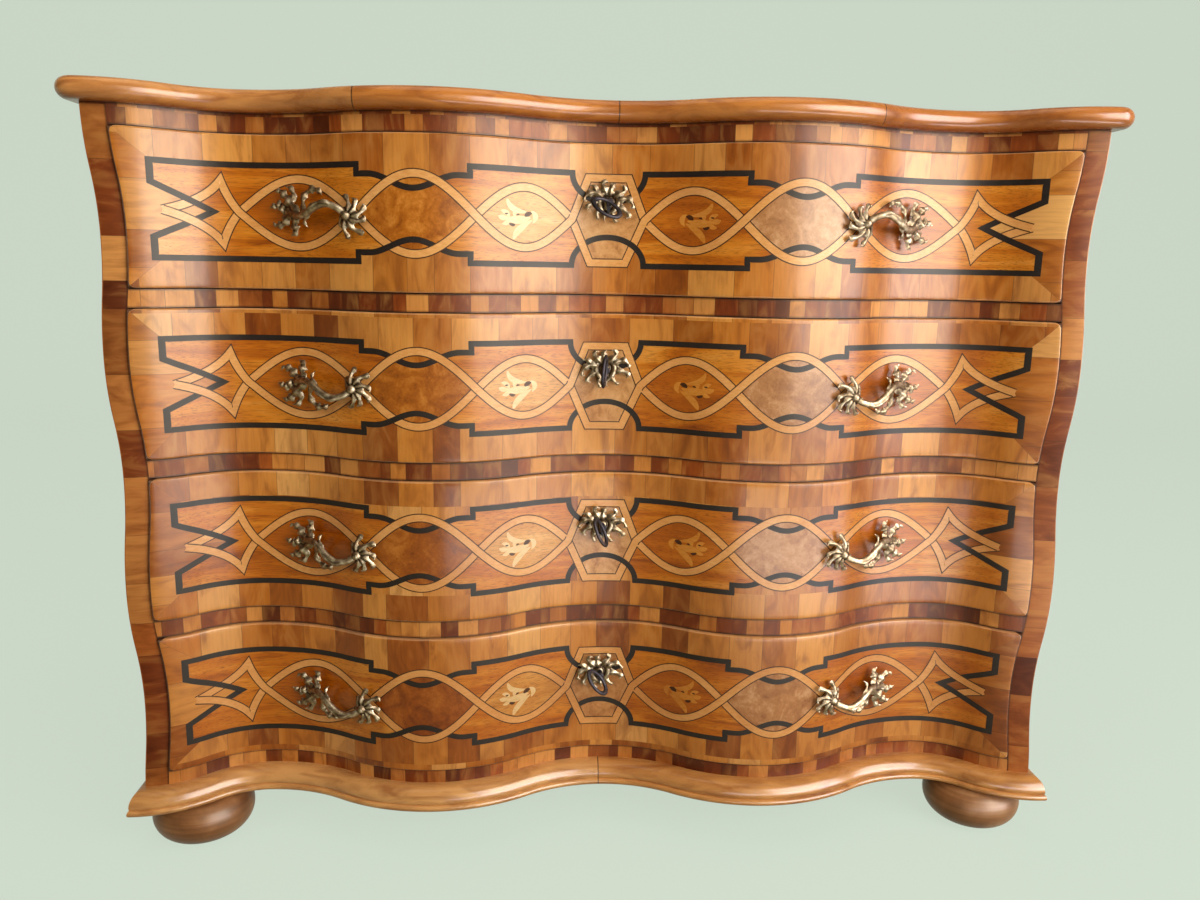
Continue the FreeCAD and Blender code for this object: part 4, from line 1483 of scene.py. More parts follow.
@dataclass(frozen=True)
class Strapwork:
    """The inlay drawn flat, in millimetres from the drawer's middle; the right half mirrors the left."""

    band: float = 6.8
    strap: float = 8.2
    line: float = 1.3
    frame_end: float = 512.0
    frame_top: float = 53.0
    notch: float = 30.0
    notch_tip: float = 457.0
    dip_outer: float = 286.0
    dip_inner: float = 159.0
    dip_level: float = 43.0
    dip: float = 15.0
    dip_flat: float = 0.1
    arch_reach: float = 43.0
    arch_level: float = 20.0
    star_tip: float = 503.0
    star_x: float = 448.0
    star_height: float = 35.0
    outer_hollow: tuple[float, float] = (16.0, 13.0)
    inner_hollow: tuple[float, float] = (12.0, 14.0)
    crossings: tuple[float, float, float, float] = (429.0, 289.0, 153.0, 43.0)
    rises: tuple[float, float, float] = (-38.0, 44.0, -34.0)
    cartouche_top: tuple[float, float] = (24.0, 48.0)
    cartouche_foot: tuple[float, float] = (21.0, 50.0)

    def frame_half(self) -> list:
        """The upper left quarter of the black frame, from the middle to the tip of its notch.

        Returns:
            The points.
        """
        arch = []
        for turn in np.linspace(math.pi / 2, 0, 16):
            drop = self.frame_top - self.arch_level
            arch.append((-self.arch_reach * math.cos(turn), self.frame_top - drop * math.sin(turn)))
        dip = []
        for share in np.linspace(0, 1, 48):
            x = -self.dip_inner - (self.dip_outer - self.dip_inner) * share
            swung = np.clip((share - self.dip_flat) / (1 - 2 * self.dip_flat), 0, 1)
            sag = math.sin(math.pi * swung) ** 2
            dip.append((x, self.dip_level - self.dip * sag))
        return (
            arch
            + [(-self.dip_inner, self.frame_top)]
            + dip
            + [(-self.dip_outer, self.frame_top), (-self.frame_end, self.frame_top)]
            + [(-self.frame_end, self.notch), (-self.notch_tip, 0.0)]
        )

    def frame(self) -> Array:
        """The whole black frame, a closed path.

        Returns:
            The points.
        """
        upper = self.frame_half()
        lower = [(x, -w) for x, w in upper[-2::-1]]
        left = upper + lower
        right = [(-x, w) for x, w in left[-2::-1]]
        return spread(left + right)

    def field_edge(self, x: Array) -> Array:
        """Half the height of the field inside the frame, across the drawer.

        Args:
            x: places across the drawer.

        Returns:
            The half heights.
        """
        tip = (-self.notch_tip, 0.0)
        corners = [point for point in self.frame_half() if point[0] > -self.frame_end and point != tip]
        corners.append((-self.frame_end, self.frame_top))
        across = np.array([-point[0] for point in corners])
        level = np.array([point[1] for point in corners])
        return np.interp(np.abs(x), across, level)

    def strand(self, way: int) -> Array:
        """One of the two interlaced straps, from star to star.

        Args:
            way: 1 for the strap that leaves the left star by its upper point, -1 for the other.

        Returns:
            The path's points.
        """
        first = self.crossings[0]
        tip = (-self.star_x, self.star_height * way)
        outer = (-self.star_x - self.outer_hollow[0], self.outer_hollow[1] * way)
        inner = (-first - self.inner_hollow[0], self.inner_hollow[1] * way)
        path = curve((-self.star_tip, 0.0), outer, tip) + curve(tip, inner, (-first, 0.0))
        for start, end, rise in zip(self.crossings, self.crossings[1:], self.rises):
            path += swing(-start, -end, rise * way)
        corner = self.cartouche_top if way > 0 else self.cartouche_foot
        path += [(-self.crossings[-1], 0.0), (-corner[0], corner[1] * way)]
        return spread(path + [(-x, w) for x, w in path[::-1]])


SPRIG = (
    ((-118.0, 20.0), (-116.0, 6.0), (-95.0, 6.0), 6.5),
    ((-111.0, -25.0), (-108.0, -13.0), (-90.0, -3.0), 7.5),
    ((-119.0, -2.0), (-106.0, -5.0), (-92.0, 0.0), 9.0),
    ((-117.0, -1.0), (-124.0, -2.0), (-128.0, 1.0), 6.0),
    ((-116.0, 0.0), (-118.0, 6.0), (-125.0, 7.0), 5.5),
    ((-116.0, -2.0), (-117.0, -8.0), (-124.0, -8.0), 5.5),
    ((-91.0, 7.0), (-82.0, 3.0), (-89.0, -6.0), 6.0),
    ((-110.0, 0.0), (-110.0, 8.0), (-107.0, 9.0), 5.0),
)
BERRIES = (
    ((-98.0, 1.0), (-95.0, 5.0), (-90.0, 5.0), 5.5),
    ((-116.0, -7.0), (-112.0, -10.0), (-109.0, -8.0), 3.6),
    ((-121.0, 3.5), (-119.0, 3.0), (-117.0, 4.0), 2.0),
    ((-108.0, 2.0), (-106.0, 3.5), (-104.0, 3.0), 2.0),
)


@dataclass(frozen=True)
class Levels:
    """How far each layer of the inlay stands off the drawer's veneer, so that straps pass over and under."""

    field: float = 0.05 * MM
    eye: float = 0.08 * MM
    cartouche: float = 0.11 * MM
    low: float = 0.15 * MM
    band: float = 0.21 * MM
    middle: float = 0.27 * MM
    high: float = 0.34 * MM
    line_drop: float = 0.02 * MM
    plate: float = 0.7 * MM


class Weave(Enum):
    """How a strap passes over and under: places in millimetres, each low (0), middle (1) or high (2)."""

    UPPER = (
        (-480, 0), (-429, 2), (-360, 1), (-289, 1), (-255, 2), (-153, 2), (-98, 1), (-43, 2), (-37, 0),
        (-26, 0), (-20, 1), (43, 1), (98, 1), (153, 2), (250, 2), (289, 1), (360, 1), (429, 2), (470, 2),
    )
    LOWER = (
        (-480, 2), (-429, 1), (-360, 1), (-289, 2), (-255, 0), (-200, 1), (-153, 1), (20, 1), (24, 0),
        (37, 0), (43, 2), (98, 1), (153, 1), (180, 2), (250, 2), (289, 2), (360, 1), (429, 1), (470, 0),
    )


@dataclass(frozen=True)
class DrawerFront:
    """The dressed face of the drawers: border, field and strapwork."""

    round: float = 2.5 * MM
    corner: float = 8 * MM
    skirt: float = 7 * MM
    columns: int = 330
    rows: int = 40
    sharp: float = 0.82
    leaf_ends: tuple[float, float] = (0.06, 0.97)
    leaf_fullness: float = 0.8
    work: Strapwork = Strapwork()
    levels: Levels = Levels()

    def build(self) -> None:
        """Makes the inlay once, and lays it on each drawer with a border of its own."""
        border = DrawerBorder().material()
        inlay = self.inlay()
        for number in DRAWERS:
            body = "drawer_%d" % number
            low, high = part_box(body + "_front")
            dressed(self.border(body + "_crossbanding", low.z, high.z), border, body)
            for pattern, finish in inlay:
                piece = raised(pattern, "%s_%s" % (body, pattern.name), (low.z + high.z) / 2)
                dressed(piece, finish, body)
        for pattern, _ in inlay:
            removed(pattern)

    def inlay(self) -> list[tuple[Piece, Material]]:
        """The inlay's pieces about the drawer's middle, with their finishes.

        Returns:
            The pieces and their materials, a pair each.
        """
        upper, lower = self.work.strand(1), self.work.strand(-1)
        straps = []
        lines = []
        for path, weave in ((upper, Weave.UPPER), (lower, Weave.LOWER)):
            places, heights = np.array(weave.value).T
            steps = np.array([self.levels.low, self.levels.middle, self.levels.high])
            lift = np.interp(path[:, 0], places, steps[heights])
            straps.append(self.ribbon("strap", path, self.work.strap, lift))
            wide = self.work.strap + 2 * self.work.line
            lines.append(self.ribbon("line", path, wide, lift - self.levels.line_drop))
        frame_path = self.work.frame()
        band = self.ribbon("band", frame_path, self.work.band, np.full(len(frame_path), self.levels.band))
        return [
            (self.field(), Figured("walnut_field", FIELD_TONES).material()),
            (self.cartouche(), Burl("cartouche_burl", CARTOUCHE_TONES).material()),
            (self.eyes("handle_eyes", 0, SIDES), Figured("golden_eye", EYE_TONES).material()),
            (self.eyes("left_oval", 1, (-1,)), Burl("dark_burl", OVAL_TONES, polish=DEEP_FLOOR_SHADE).material()),
            (self.eyes("right_oval", 1, (1,)), Burl("grey_burl", PALE_OVAL_TONES).material()),
            (self.eyes("left_eye", 2, (-1,)), Figured("pale_eye", PALE_TONES).material()),
            (self.eyes("right_eye", 2, (1,)), Figured("amber_eye", EYE_TONES).material()),
            (joined("stringing", lines), LINES.material()),
            (joined("straps", straps), MAPLE.material()),
            (joined("black_frame", [band]), EBONY.material()),
            (self.sprig("left_sprig", SPRIG, (-1,), self.levels.cartouche), PALE_MOTIF.material()),
            (self.sprig("right_sprig", SPRIG, (1,), self.levels.cartouche), AMBER_MOTIF.material()),
            (self.sprig("berries", BERRIES, SIDES, self.levels.low), DARK_MOTIF.material()),
        ]

    def lip(self, count: int) -> tuple[Array, Array, Array]:
        """Places across a front whose edges are rounded.

        Args:
            count: faces across the flat part.

        Returns:
            For each place its share of the half width, inset from the edge and setback from the face.
        """
        turn = np.linspace(0, math.pi / 2, 6)
        inset = np.concatenate([[0.0], self.round * (1 - np.cos(turn))])
        setback = np.concatenate([[self.skirt], self.round * (1 - np.sin(turn))])
        flat = np.linspace(-1, 1, count + 1)[1:-1]
        shares = np.concatenate([-np.ones_like(inset), flat, np.ones_like(inset)])
        insets = np.concatenate([inset, np.full_like(flat, self.round), inset[::-1]])
        setbacks = np.concatenate([setback, np.zeros_like(flat), setback[::-1]])
        return shares, insets, setbacks

    def border(self, name: str, foot: float, head: float) -> Piece:
        """The veneered face with its rounded edges, between two heights.

        Args:
            name: the piece's name.
            foot: the lower height.
            head: the upper height.

        Returns:
            The closed face.
        """
        across = self.lip(self.columns)
        upright = self.lip(self.rows)
        columns, rows = len(across[0]) - 1, len(upright[0]) - 1
        half_height = (head - foot) / 2 + SKIN
        middle = (head + foot) / 2

        def face(u: Array, v: Array) -> Array:
            """The front's face.

            Args:
                u: shares across.
                v: shares up.

            Returns:
                The points.
            """
            share_x, inset_x, back_x = (row[np.rint(u * columns).astype(int)] for row in across)
            share_z, inset_z, back_z = (row[np.rint(v * rows).astype(int)] for row in upright)
            z = middle + share_z * (half_height - inset_z)
            x = share_x * (EDGE.x(z) - STILE_WIDTH - DRAWER_GAP + SKIN - inset_x)
            return stacked(x, WAVE.y(x, FACE - np.maximum(back_x, back_z)), z)

        piece = sheet(name, columns, rows, face)
        points = points_of(piece)
        half_width = EDGE.x(points[:, 2]) - STILE_WIDTH - DRAWER_GAP + SKIN
        to_end = half_width - np.abs(points[:, 0])
        to_level = half_height - np.abs(points[:, 2] - middle)
        map_edges(piece, to_end, to_level)
        beside = np.maximum(self.corner - to_end, 0)
        over = np.maximum(self.corner - to_level, 0)
        shrink = 1 - np.maximum(beside, over) / np.maximum(np.hypot(beside, over), 1e-9)
        shrink = np.where((beside > 0) & (over > 0), shrink, 0)
        points[:, 0] -= np.sign(points[:, 0]) * beside * shrink
        points[:, 2] -= np.sign(points[:, 2] - middle) * over * shrink
        set_points(piece, points)
        return thicken(piece, self.levels.plate)

    def ribbon(self, name: str, path: Array, width: Union[float, Array], lift: Array) -> Piece:
        """A band along a path on the drawer's face.

        Args:
            name: the piece's name.
            path: its middle line, in millimetres.
            width: its width, in millimetres, all along or at each point.
            lift: how far it stands off the veneer at each point.

        Returns:
            The closed band, mitred where its path turns.
        """
        steps = np.diff(path, axis=0)
        steps /= np.linalg.norm(steps, axis=1)[:, None]
        bends = (steps[:-1] * steps[1:]).sum(axis=1)
        corners = [0, *(int(index) + 1 for index in np.where(bends < self.sharp)[0]), len(path) - 1]
        widths = np.broadcast_to(width, len(path))
        spans = []
        for first, last in zip(corners, corners[1:]):
            cuts = [mitre_at(path, steps, index) for index in (first, last)]
            stretch = slice(first, last + 1)
            spans.append(self.span(path[stretch], widths[stretch], lift[stretch], cuts))
        return joined(name, spans)

    def span(self, path: Array, width: Array, lift: Array, cuts: Sequence[tuple[Array, Array]]) -> Piece:
        """One stretch of a band between two mitres.

        Args:
            path: its middle line, in millimetres.
            width: its width at each point.
            lift: how far it stands off the veneer at each point.
            cuts: for each end, the way along the mitre, one unit aside of the band, and the way across it.

        Returns:
            The closed stretch.
        """
        aim = np.gradient(path, axis=0)
        aim /= np.linalg.norm(aim, axis=1)[:, None]
        aside = np.stack([-aim[:, 1], aim[:, 0]], axis=1)
        (aside[0], first_way), (aside[-1], last_way) = cuts
        count = len(path) - 1

        def laid(u: Array, v: Array) -> Array:
            """The stretch on the veneer.

            Args:
                u: shares along.
                v: shares aside.

            Returns:
                The points.
            """
            index = np.rint(u * count).astype(int)
            flat = path[index] + aside[index] * (width[index] * (v - 0.5))[:, None]
            before = np.minimum((flat - path[0]) @ first_way, 0)
            flat = flat - before[:, None] * first_way
            beyond = np.maximum((flat - path[-1]) @ last_way, 0)
            x, w = (flat - beyond[:, None] * last_way).T * MM
            return stacked(x, WAVE.y(x, FACE + lift[index]), w)

        return thicken(sheet("span", count, 4, laid), self.levels.plate)

    def field(self) -> Piece:
        """The figured sheet inside the black frame, with its notched ends.

        Returns:
            The closed sheet.
        """
        work = self.work
        lift = FACE + self.levels.field
        tip = work.notch_tip

        def middle(u: Array, v: Array) -> Array:
            """The field between the notches.

            Args:
                u: shares across.
                v: shares up.

            Returns:
                The points.
            """
            x = (2 * u - 1) * tip
            w = (2 * v - 1) * work.field_edge(x)
            return stacked(x * MM, WAVE.y(x * MM, lift), w * MM)

        sheets = [thicken(sheet("field_middle", 400, 12, middle), self.levels.plate)]
        for side in SIDES:
            for way in SIDES:

                def wedge(u: Array, v: Array) -> Array:
                    """The field beside a notch.

                    Args:
                        u: shares outwards.
                        v: shares up.

                    Returns:
                        The points.
                    """
                    x = tip + (work.frame_end - tip) * u
                    low = work.notch * u
                    w = way * (low + (work.frame_top - low) * v)
                    return stacked(side * x * MM, WAVE.y(x * MM, lift), w * MM)

                sheets.append(thicken(sheet("field_end", 20, 6, wedge), self.levels.plate))
        return joined("field", sheets)

    def cartouche(self) -> Piece:
        """The burl panel round the keyhole.

        Returns:
            The closed panel.
        """
        work = self.work
        levels = np.array([-work.cartouche_foot[1], 0.0, work.cartouche_top[1]])
        halves = np.array([work.cartouche_foot[0], work.crossings[-1], work.cartouche_top[0]])

        def panel(u: Array, v: Array) -> Array:
            """The panel.

            Args:
                u: shares across.
                v: shares up.

            Returns:
                The points.
            """
            w = levels[0] + (levels[-1] - levels[0]) * v
            x = (2 * u - 1) * np.interp(w, levels, halves) * MM
            return stacked(x, WAVE.y(x, FACE + self.levels.cartouche), w * MM)

        return thicken(sheet("cartouche", 24, 26, panel), self.levels.plate)

    def eyes(self, name: str, order: int, sides: Sequence[int]) -> Piece:
        """The sheets inside the straps between two of their crossings.

        Args:
            name: the piece's name.
            order: which pair of crossings, from the star inwards.
            sides: -1 for the left half, 1 for the right one.

        Returns:
            The closed sheets.
        """
        far, near = self.work.crossings[order : order + 2]
        rise = abs(self.work.rises[order])
        sheets = []
        for side in sides:

            def eye(u: Array, v: Array) -> Array:
                """The eye.

                Args:
                    u: shares outwards.
                    v: shares up.

                Returns:
                    The points.
                """
                x = side * (near + (far - near) * u) * MM
                w = (2 * v - 1) * rise * np.sin(np.pi * u) * MM
                return stacked(x, WAVE.y(x, FACE + self.levels.eye), w)

            sheets.append(thicken(sheet("eye", 60, 12, eye), self.levels.plate))
        return joined(name, sheets)

    def sprig(self, name: str, leaves: Sequence[tuple], sides: Sequence[int], lift: float) -> Piece:
        """Leaves let into the eyes beside the cartouche.

        Args:
            name: the piece's name.
            leaves: for each, its start, the point that bends it, its end and its width, in millimetres, on
                the left.
            sides: -1 for the left half, 1 for the right one.
            lift: how far they stand off the veneer.

        Returns:
            The closed leaves.
        """
        plates = []
        for side in sides:
            for start, pull, end, width in leaves:
                path = np.array(curve(start, pull, end) + [end])
                path[:, 0] *= -side
                swell = width * np.sin(np.pi * np.linspace(*self.leaf_ends, len(path))) ** self.leaf_fullness
                plates.append(self.ribbon("leaf", path, swell, np.full(len(path), lift)))
        return joined(name, plates)


# Cast mounts
def through(points: Sequence[Sequence[float]], count: int) -> Array:
    """A smooth line through points of any number of parts.

    Args:
        points: the points.
        count: how many points the line has.

    Returns:
        The line's points.
    """
    knots = np.array(points, dtype=float)
    ends = np.concatenate([2 * knots[:1] - knots[1:2], knots, 2 * knots[-1:] - knots[-2:-1]])
    share = np.linspace(0, len(knots) - 1, count)
    index = np.minimum(share.astype(int), len(knots) - 2)
    t = (share - index)[:, None]
    a, b, c, d = (ends[index + step] for step in range(4))
    return 0.5 * (2 * b + (c - a) * t + (2 * a - 5 * b + 4 * c - d) * t**2 + (3 * b - a - 3 * c + d) * t**3)


@dataclass(frozen=True)
class Stem:
    """A cast branch or leaf: knots of place along, up and out and of half width, in millimetres.

    Its thickness is a share, flat, of its width. A leaf also has lobes along its edges.
    """

    knots: tuple[tuple[float, float, float, float], ...]
    flat: float = 1.0
    lobes: int = 0
    lobe_depth: float = 0.34
    lobe_pace: float = 1.2
    thinnest: float = 0.2 * MM
    rings: int = 40
    facets: int = 16

    def build(self) -> Piece:
        """The closed stem in the casting's own frame.

        Returns:
            The stem.
        """
        line = through(self.knots, self.rings) * MM
        spine, half = line[:, :3], np.maximum(line[:, 3], self.thinnest)
        pace = np.linspace(0, 1, len(half)) ** self.lobe_pace
        half = half * (1 + self.lobe_depth * np.sin(2 * np.pi * self.lobes * pace))
        half[0] = half[-1] = 0.0
        along = np.gradient(spine, axis=0)
        along /= np.linalg.norm(along, axis=1)[:, None]
        side = np.cross(along, (0, 0, 1.0))
        side /= np.maximum(np.linalg.norm(side, axis=1), 1e-6)[:, None]
        over = np.cross(side, along)
        count = len(spine) - 1

        def skin(u: Array, v: Array) -> Array:
            """The stem's skin.

            Args:
                u: shares along.
                v: shares round.

            Returns:
                The points.
            """
            index = np.rint(u * count).astype(int)
            turn = 2 * np.pi * v
            ridge = np.sign(np.sin(turn)) * (1 - np.abs(np.cos(turn))) if self.lobes else np.sin(turn)
            wide = side[index] * (half[index] * np.cos(turn))[:, None]
            thick = over[index] * (half[index] * self.flat * ridge)[:, None]
            return spine[index] + wide + thick

        return close(sheet("stem", count, self.facets, skin))


HOLLOW_GAIN = 1.6
HOLLOW_SPREADS = 3


def mark_hollows(casting: Piece, grain: float) -> None:
    """Marks how hollow a casting is at each point, 0 to 1, for its patina.

    Args:
        casting: the casting.
        grain: the size of its faces.
    """
    mesh = casting.data
    points = points_of(casting)
    normals = fetched(mesh.vertices, "normal", 3)
    edges = fetched(mesh.edges, "vertices", 2, int)
    lean = np.zeros(len(points))
    links = np.zeros(len(points))
    gaps = points[edges[:, 1]] - points[edges[:, 0]]
    for ends, sign in ((0, 1.0), (1, -1.0)):
        at = edges[:, ends]
        np.add.at(lean, at, sign * (gaps * normals[at]).sum(axis=1))
        np.add.at(links, at, 1.0)
    hollow = np.clip(0.5 + lean / np.maximum(links, 1) / grain * HOLLOW_GAIN, 0, 1)
    for _ in range(HOLLOW_SPREADS):
        beside = np.zeros(len(points))
        np.add.at(beside, edges[:, 0], hollow[edges[:, 1]])
        np.add.at(beside, edges[:, 1], hollow[edges[:, 0]])
        hollow = 0.5 * hollow + 0.5 * beside / np.maximum(links, 1)
    mesh.attributes.new("hollow", "FLOAT", "POINT").data.foreach_set("value", hollow)


def cast(name: str, stems: Sequence[Stem], grain: float = 0.75 * MM) -> Piece:
    """Stems run together as in a mould.

    Args:
        name: the piece's name.
        stems: its stems.
        grain: the size of its faces.

    Returns:
        The casting.
    """
    casting = joined(name, [stem.build() for stem in stems])
    modify(casting, "REMESH", mode="VOXEL", voxel_size=grain)
    modify(casting, "SMOOTH", factor=0.5, iterations=3)
    mark_hollows(casting, grain)
    return smooth(casting)


@dataclass(frozen=True)
class Pulls:
    """Foliate drawer pulls: a rosette of curled leaves, a bow and a spray, on two posts.

    Each drawer has the tilts of its left and right pull, in degrees, and their way up: -1 is turned over.
    """

    inner_x: float = 292 * MM
    outer_x: float = 372 * MM
    post_radius: float = 3 * MM
    post_reach: float = 33 * MM
    tilts: tuple[tuple[float, float], ...] = ((5.0, 1.0), (1.0, 6.0), (5.0, 4.0), (6.0, 0.0))
    ways_up: tuple[int, int, int, int] = (1, -1, -1, -1)
    post_root: float = 6 * MM
    petal_curl: float = -3.6

    def petal(self, angle: float, length: float) -> Stem:
        """A slender leaf of the rosette.

        Args:
            angle: the way that it points, in degrees up from the bow's way.
            length: its reach from the rosette's middle, in millimetres.

        Returns:
            The leaf.
        """
        turn = math.radians(angle)
        along = np.array([math.cos(turn), math.sin(turn)])
        aside = np.array([-along[1], along[0]])
        shape = (
            (0.0, 0.0, 5.0, 3.8),
            (0.32, -0.6, 9.0, 4.4),
            (0.62, -0.5, 9.5, 4.2),
            (0.86, 0.4, 7.0, 3.4),
            (0.99, 1.3, 7.0, 2.4),
            (0.94, 2.0, 8.5, 1.2),
        )
        knots = []
        for reach, hook, out, half in shape:
            a, b = along * reach * length + aside * hook * self.petal_curl
            knots.append((a, b, out, half))
        return Stem(tuple(knots), 0.7, 2)

    def stems(self) -> list[Stem]:
        """The casting's branches, from the rosette outwards.

        Returns:
            The stems.
        """
        leaves = ((84, 23), (120, 20), (156, 23), (192, 20), (230, 25), (276, 24), (40, 15), (324, 15))
        rosette = [self.petal(angle, length) for angle, length in leaves]
        rosette.append(Stem(((-2, 0, 1, 6), (0, 0, 9, 6), (1, 1, 14, 4.4), (1, 1, 16.5, 2)), 0.9))
        bow = [
            Stem((
                (1, 0, 9, 4.6), (10, 8, 15, 4.2), (22, 11, 20, 4), (34, 7, 23, 4.2), (46, 0, 23, 4.4),
                (57, -5, 20, 4.2), (68, -5, 15, 4), (79, -2, 9, 4.2), (88, 0, 2, 4.4),
            ), 0.85),
            Stem(((14, 11, 19, 1.8), (26, 13, 24, 3), (38, 7, 26, 2.8), (50, -1, 25, 1.6)), 0.7, 2),
            Stem(((40, 3, 23, 2.4), (49, -7, 21, 3.2), (52, -13, 18, 2.4), (48, -18, 16, 1.1)), 0.6, 2),
        ]
        crook = [
            Stem((
                (52, -3, 20, 3.2), (58, 8, 15, 3.8), (58, 18, 12, 4.2), (50, 25, 11, 4.4), (41, 25, 11, 3.8),
                (35, 20, 10, 1.8),
            ), 0.6, 4),
        ]
        upper = [
            Stem((
                (64, -4, 14, 4), (75, 6, 12, 6), (84, 14, 10, 5.8), (92, 20, 9, 3.6), (98, 18, 10, 1.4),
            ), 0.5, 4),
            Stem(((77, 8, 11, 3.4), (75, 17, 9, 4.6), (79, 24, 9, 3.4), (86, 26, 10, 1.3)), 0.55, 2),
            Stem(((74, -1, 11, 4.2), (85, 2, 9, 6), (95, 4, 8, 5), (104, 0, 9, 1.6)), 0.5, 4),
            Stem(((62, -5, 14, 3), (72, -2, 11, 6.5), (82, 0, 8, 6.5), (91, 1, 6, 3)), 0.5),
        ]
        lower = [
            Stem((
                (71, -4, 12, 4), (80, -9, 10, 5.8), (87, -16, 9, 5.2), (95, -19, 9, 2.8), (99, -15, 10, 1.3),
            ), 0.5, 4),
            Stem(((66, -6, 14, 4), (71, -15, 11, 5.4), (70, -23, 9, 4.4), (76, -29, 9, 1.7)), 0.5, 3),
            Stem(((84, 0, 1, 5.5), (87, 0, 7, 5.2), (88, 0, 11, 3), (88, 0, 13, 1.4)), 0.9),
        ]
        return rosette + bow + crook + upper + lower

    def seats(self) -> tuple[Array, Array]:
        """Where the two posts enter the front, in plan."""
        ends = np.array([self.inner_x, self.outer_x])
        return tuple(np.stack([ends, WAVE.y(ends, FACE)], axis=1))

    def seat(self, local: Array, tilt: float, side: int, middle: float) -> Array:
        """Lays a casting along the front.

        Args:
            local: its points along, up and out from the wood, from the inner post.
            tilt: how far its outer end is raised, in degrees, about the middle of its length.
            side: 1 for the right-hand pull, -1 for the left.
            middle: the height of the drawer's middle.

        Returns:
            The points in the frame.
        """
        start, end = self.seats()
        way = (end - start) / np.linalg.norm(end - start)
        half = np.linalg.norm(end - start) / 2
        angle = math.radians(tilt)
        a = half + (local[:, 0] - half) * math.cos(angle) - local[:, 1] * math.sin(angle)
        b = (local[:, 0] - half) * math.sin(angle) + local[:, 1] * math.cos(angle)
        line = start + a[:, None] * way
        proud = (line[:, 1] - WAVE.y(line[:, 0], FACE)) * way[0]
        out = (local[:, 2] + proud)[:, None] * np.array([way[1], -way[0]])
        flat = line + out
        return stacked(side * flat[:, 0], flat[:, 1], middle + b)

    def posts(self) -> Piece:
        """The two threaded posts behind a casting, in its own frame.

        Returns:
            Both posts.
        """
        start, end = self.seats()
        rods = []
        for along in (0.0, float(np.linalg.norm(end - start))):

            def rod(u: Array, v: Array) -> Array:
                """The post.

                Args:
                    u: shares round.
                    v: shares forwards.

                Returns:
                    The points.
                """
                turn = 2 * np.pi * u
                depth = -self.post_reach + (self.post_reach + self.post_root) * v
                x, z = self.post_radius * np.cos(turn), self.post_radius * np.sin(turn)
                return stacked(along + x, z, depth)

            rods.append(close(sheet("post", 16, 12, rod)))
        return joined("posts", rods)

    def build(self) -> None:
        """Casts the pull once and sets a pair on each drawer."""
        finish = GiltBronze().material()
        pattern = cast("pull_pattern", self.stems())
        posts = self.posts()
        for number, tilts, way_up in zip(DRAWERS, self.tilts, self.ways_up):
            body = "drawer_%d" % number
            low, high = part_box(body + "_front")
            middle = (low.z + high.z) / 2
            halves = []
            for side, tilt in zip(SIDES, tilts):
                for source, turn in ((pattern, tilt), (posts, 0.0)):
                    half = copied(source, "pull")
                    local = points_of(half) * np.array([1, way_up, 1])
                    set_points(half, self.seat(local, turn, side, middle))
                    if side * way_up < 0:
                        flip(half)
                    halves.append(half)
            pair = joined(body + "_pulls", halves)
            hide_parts(body + "_handles")
            dressed(pair, finish, body)
        removed(pattern)
        removed(posts)


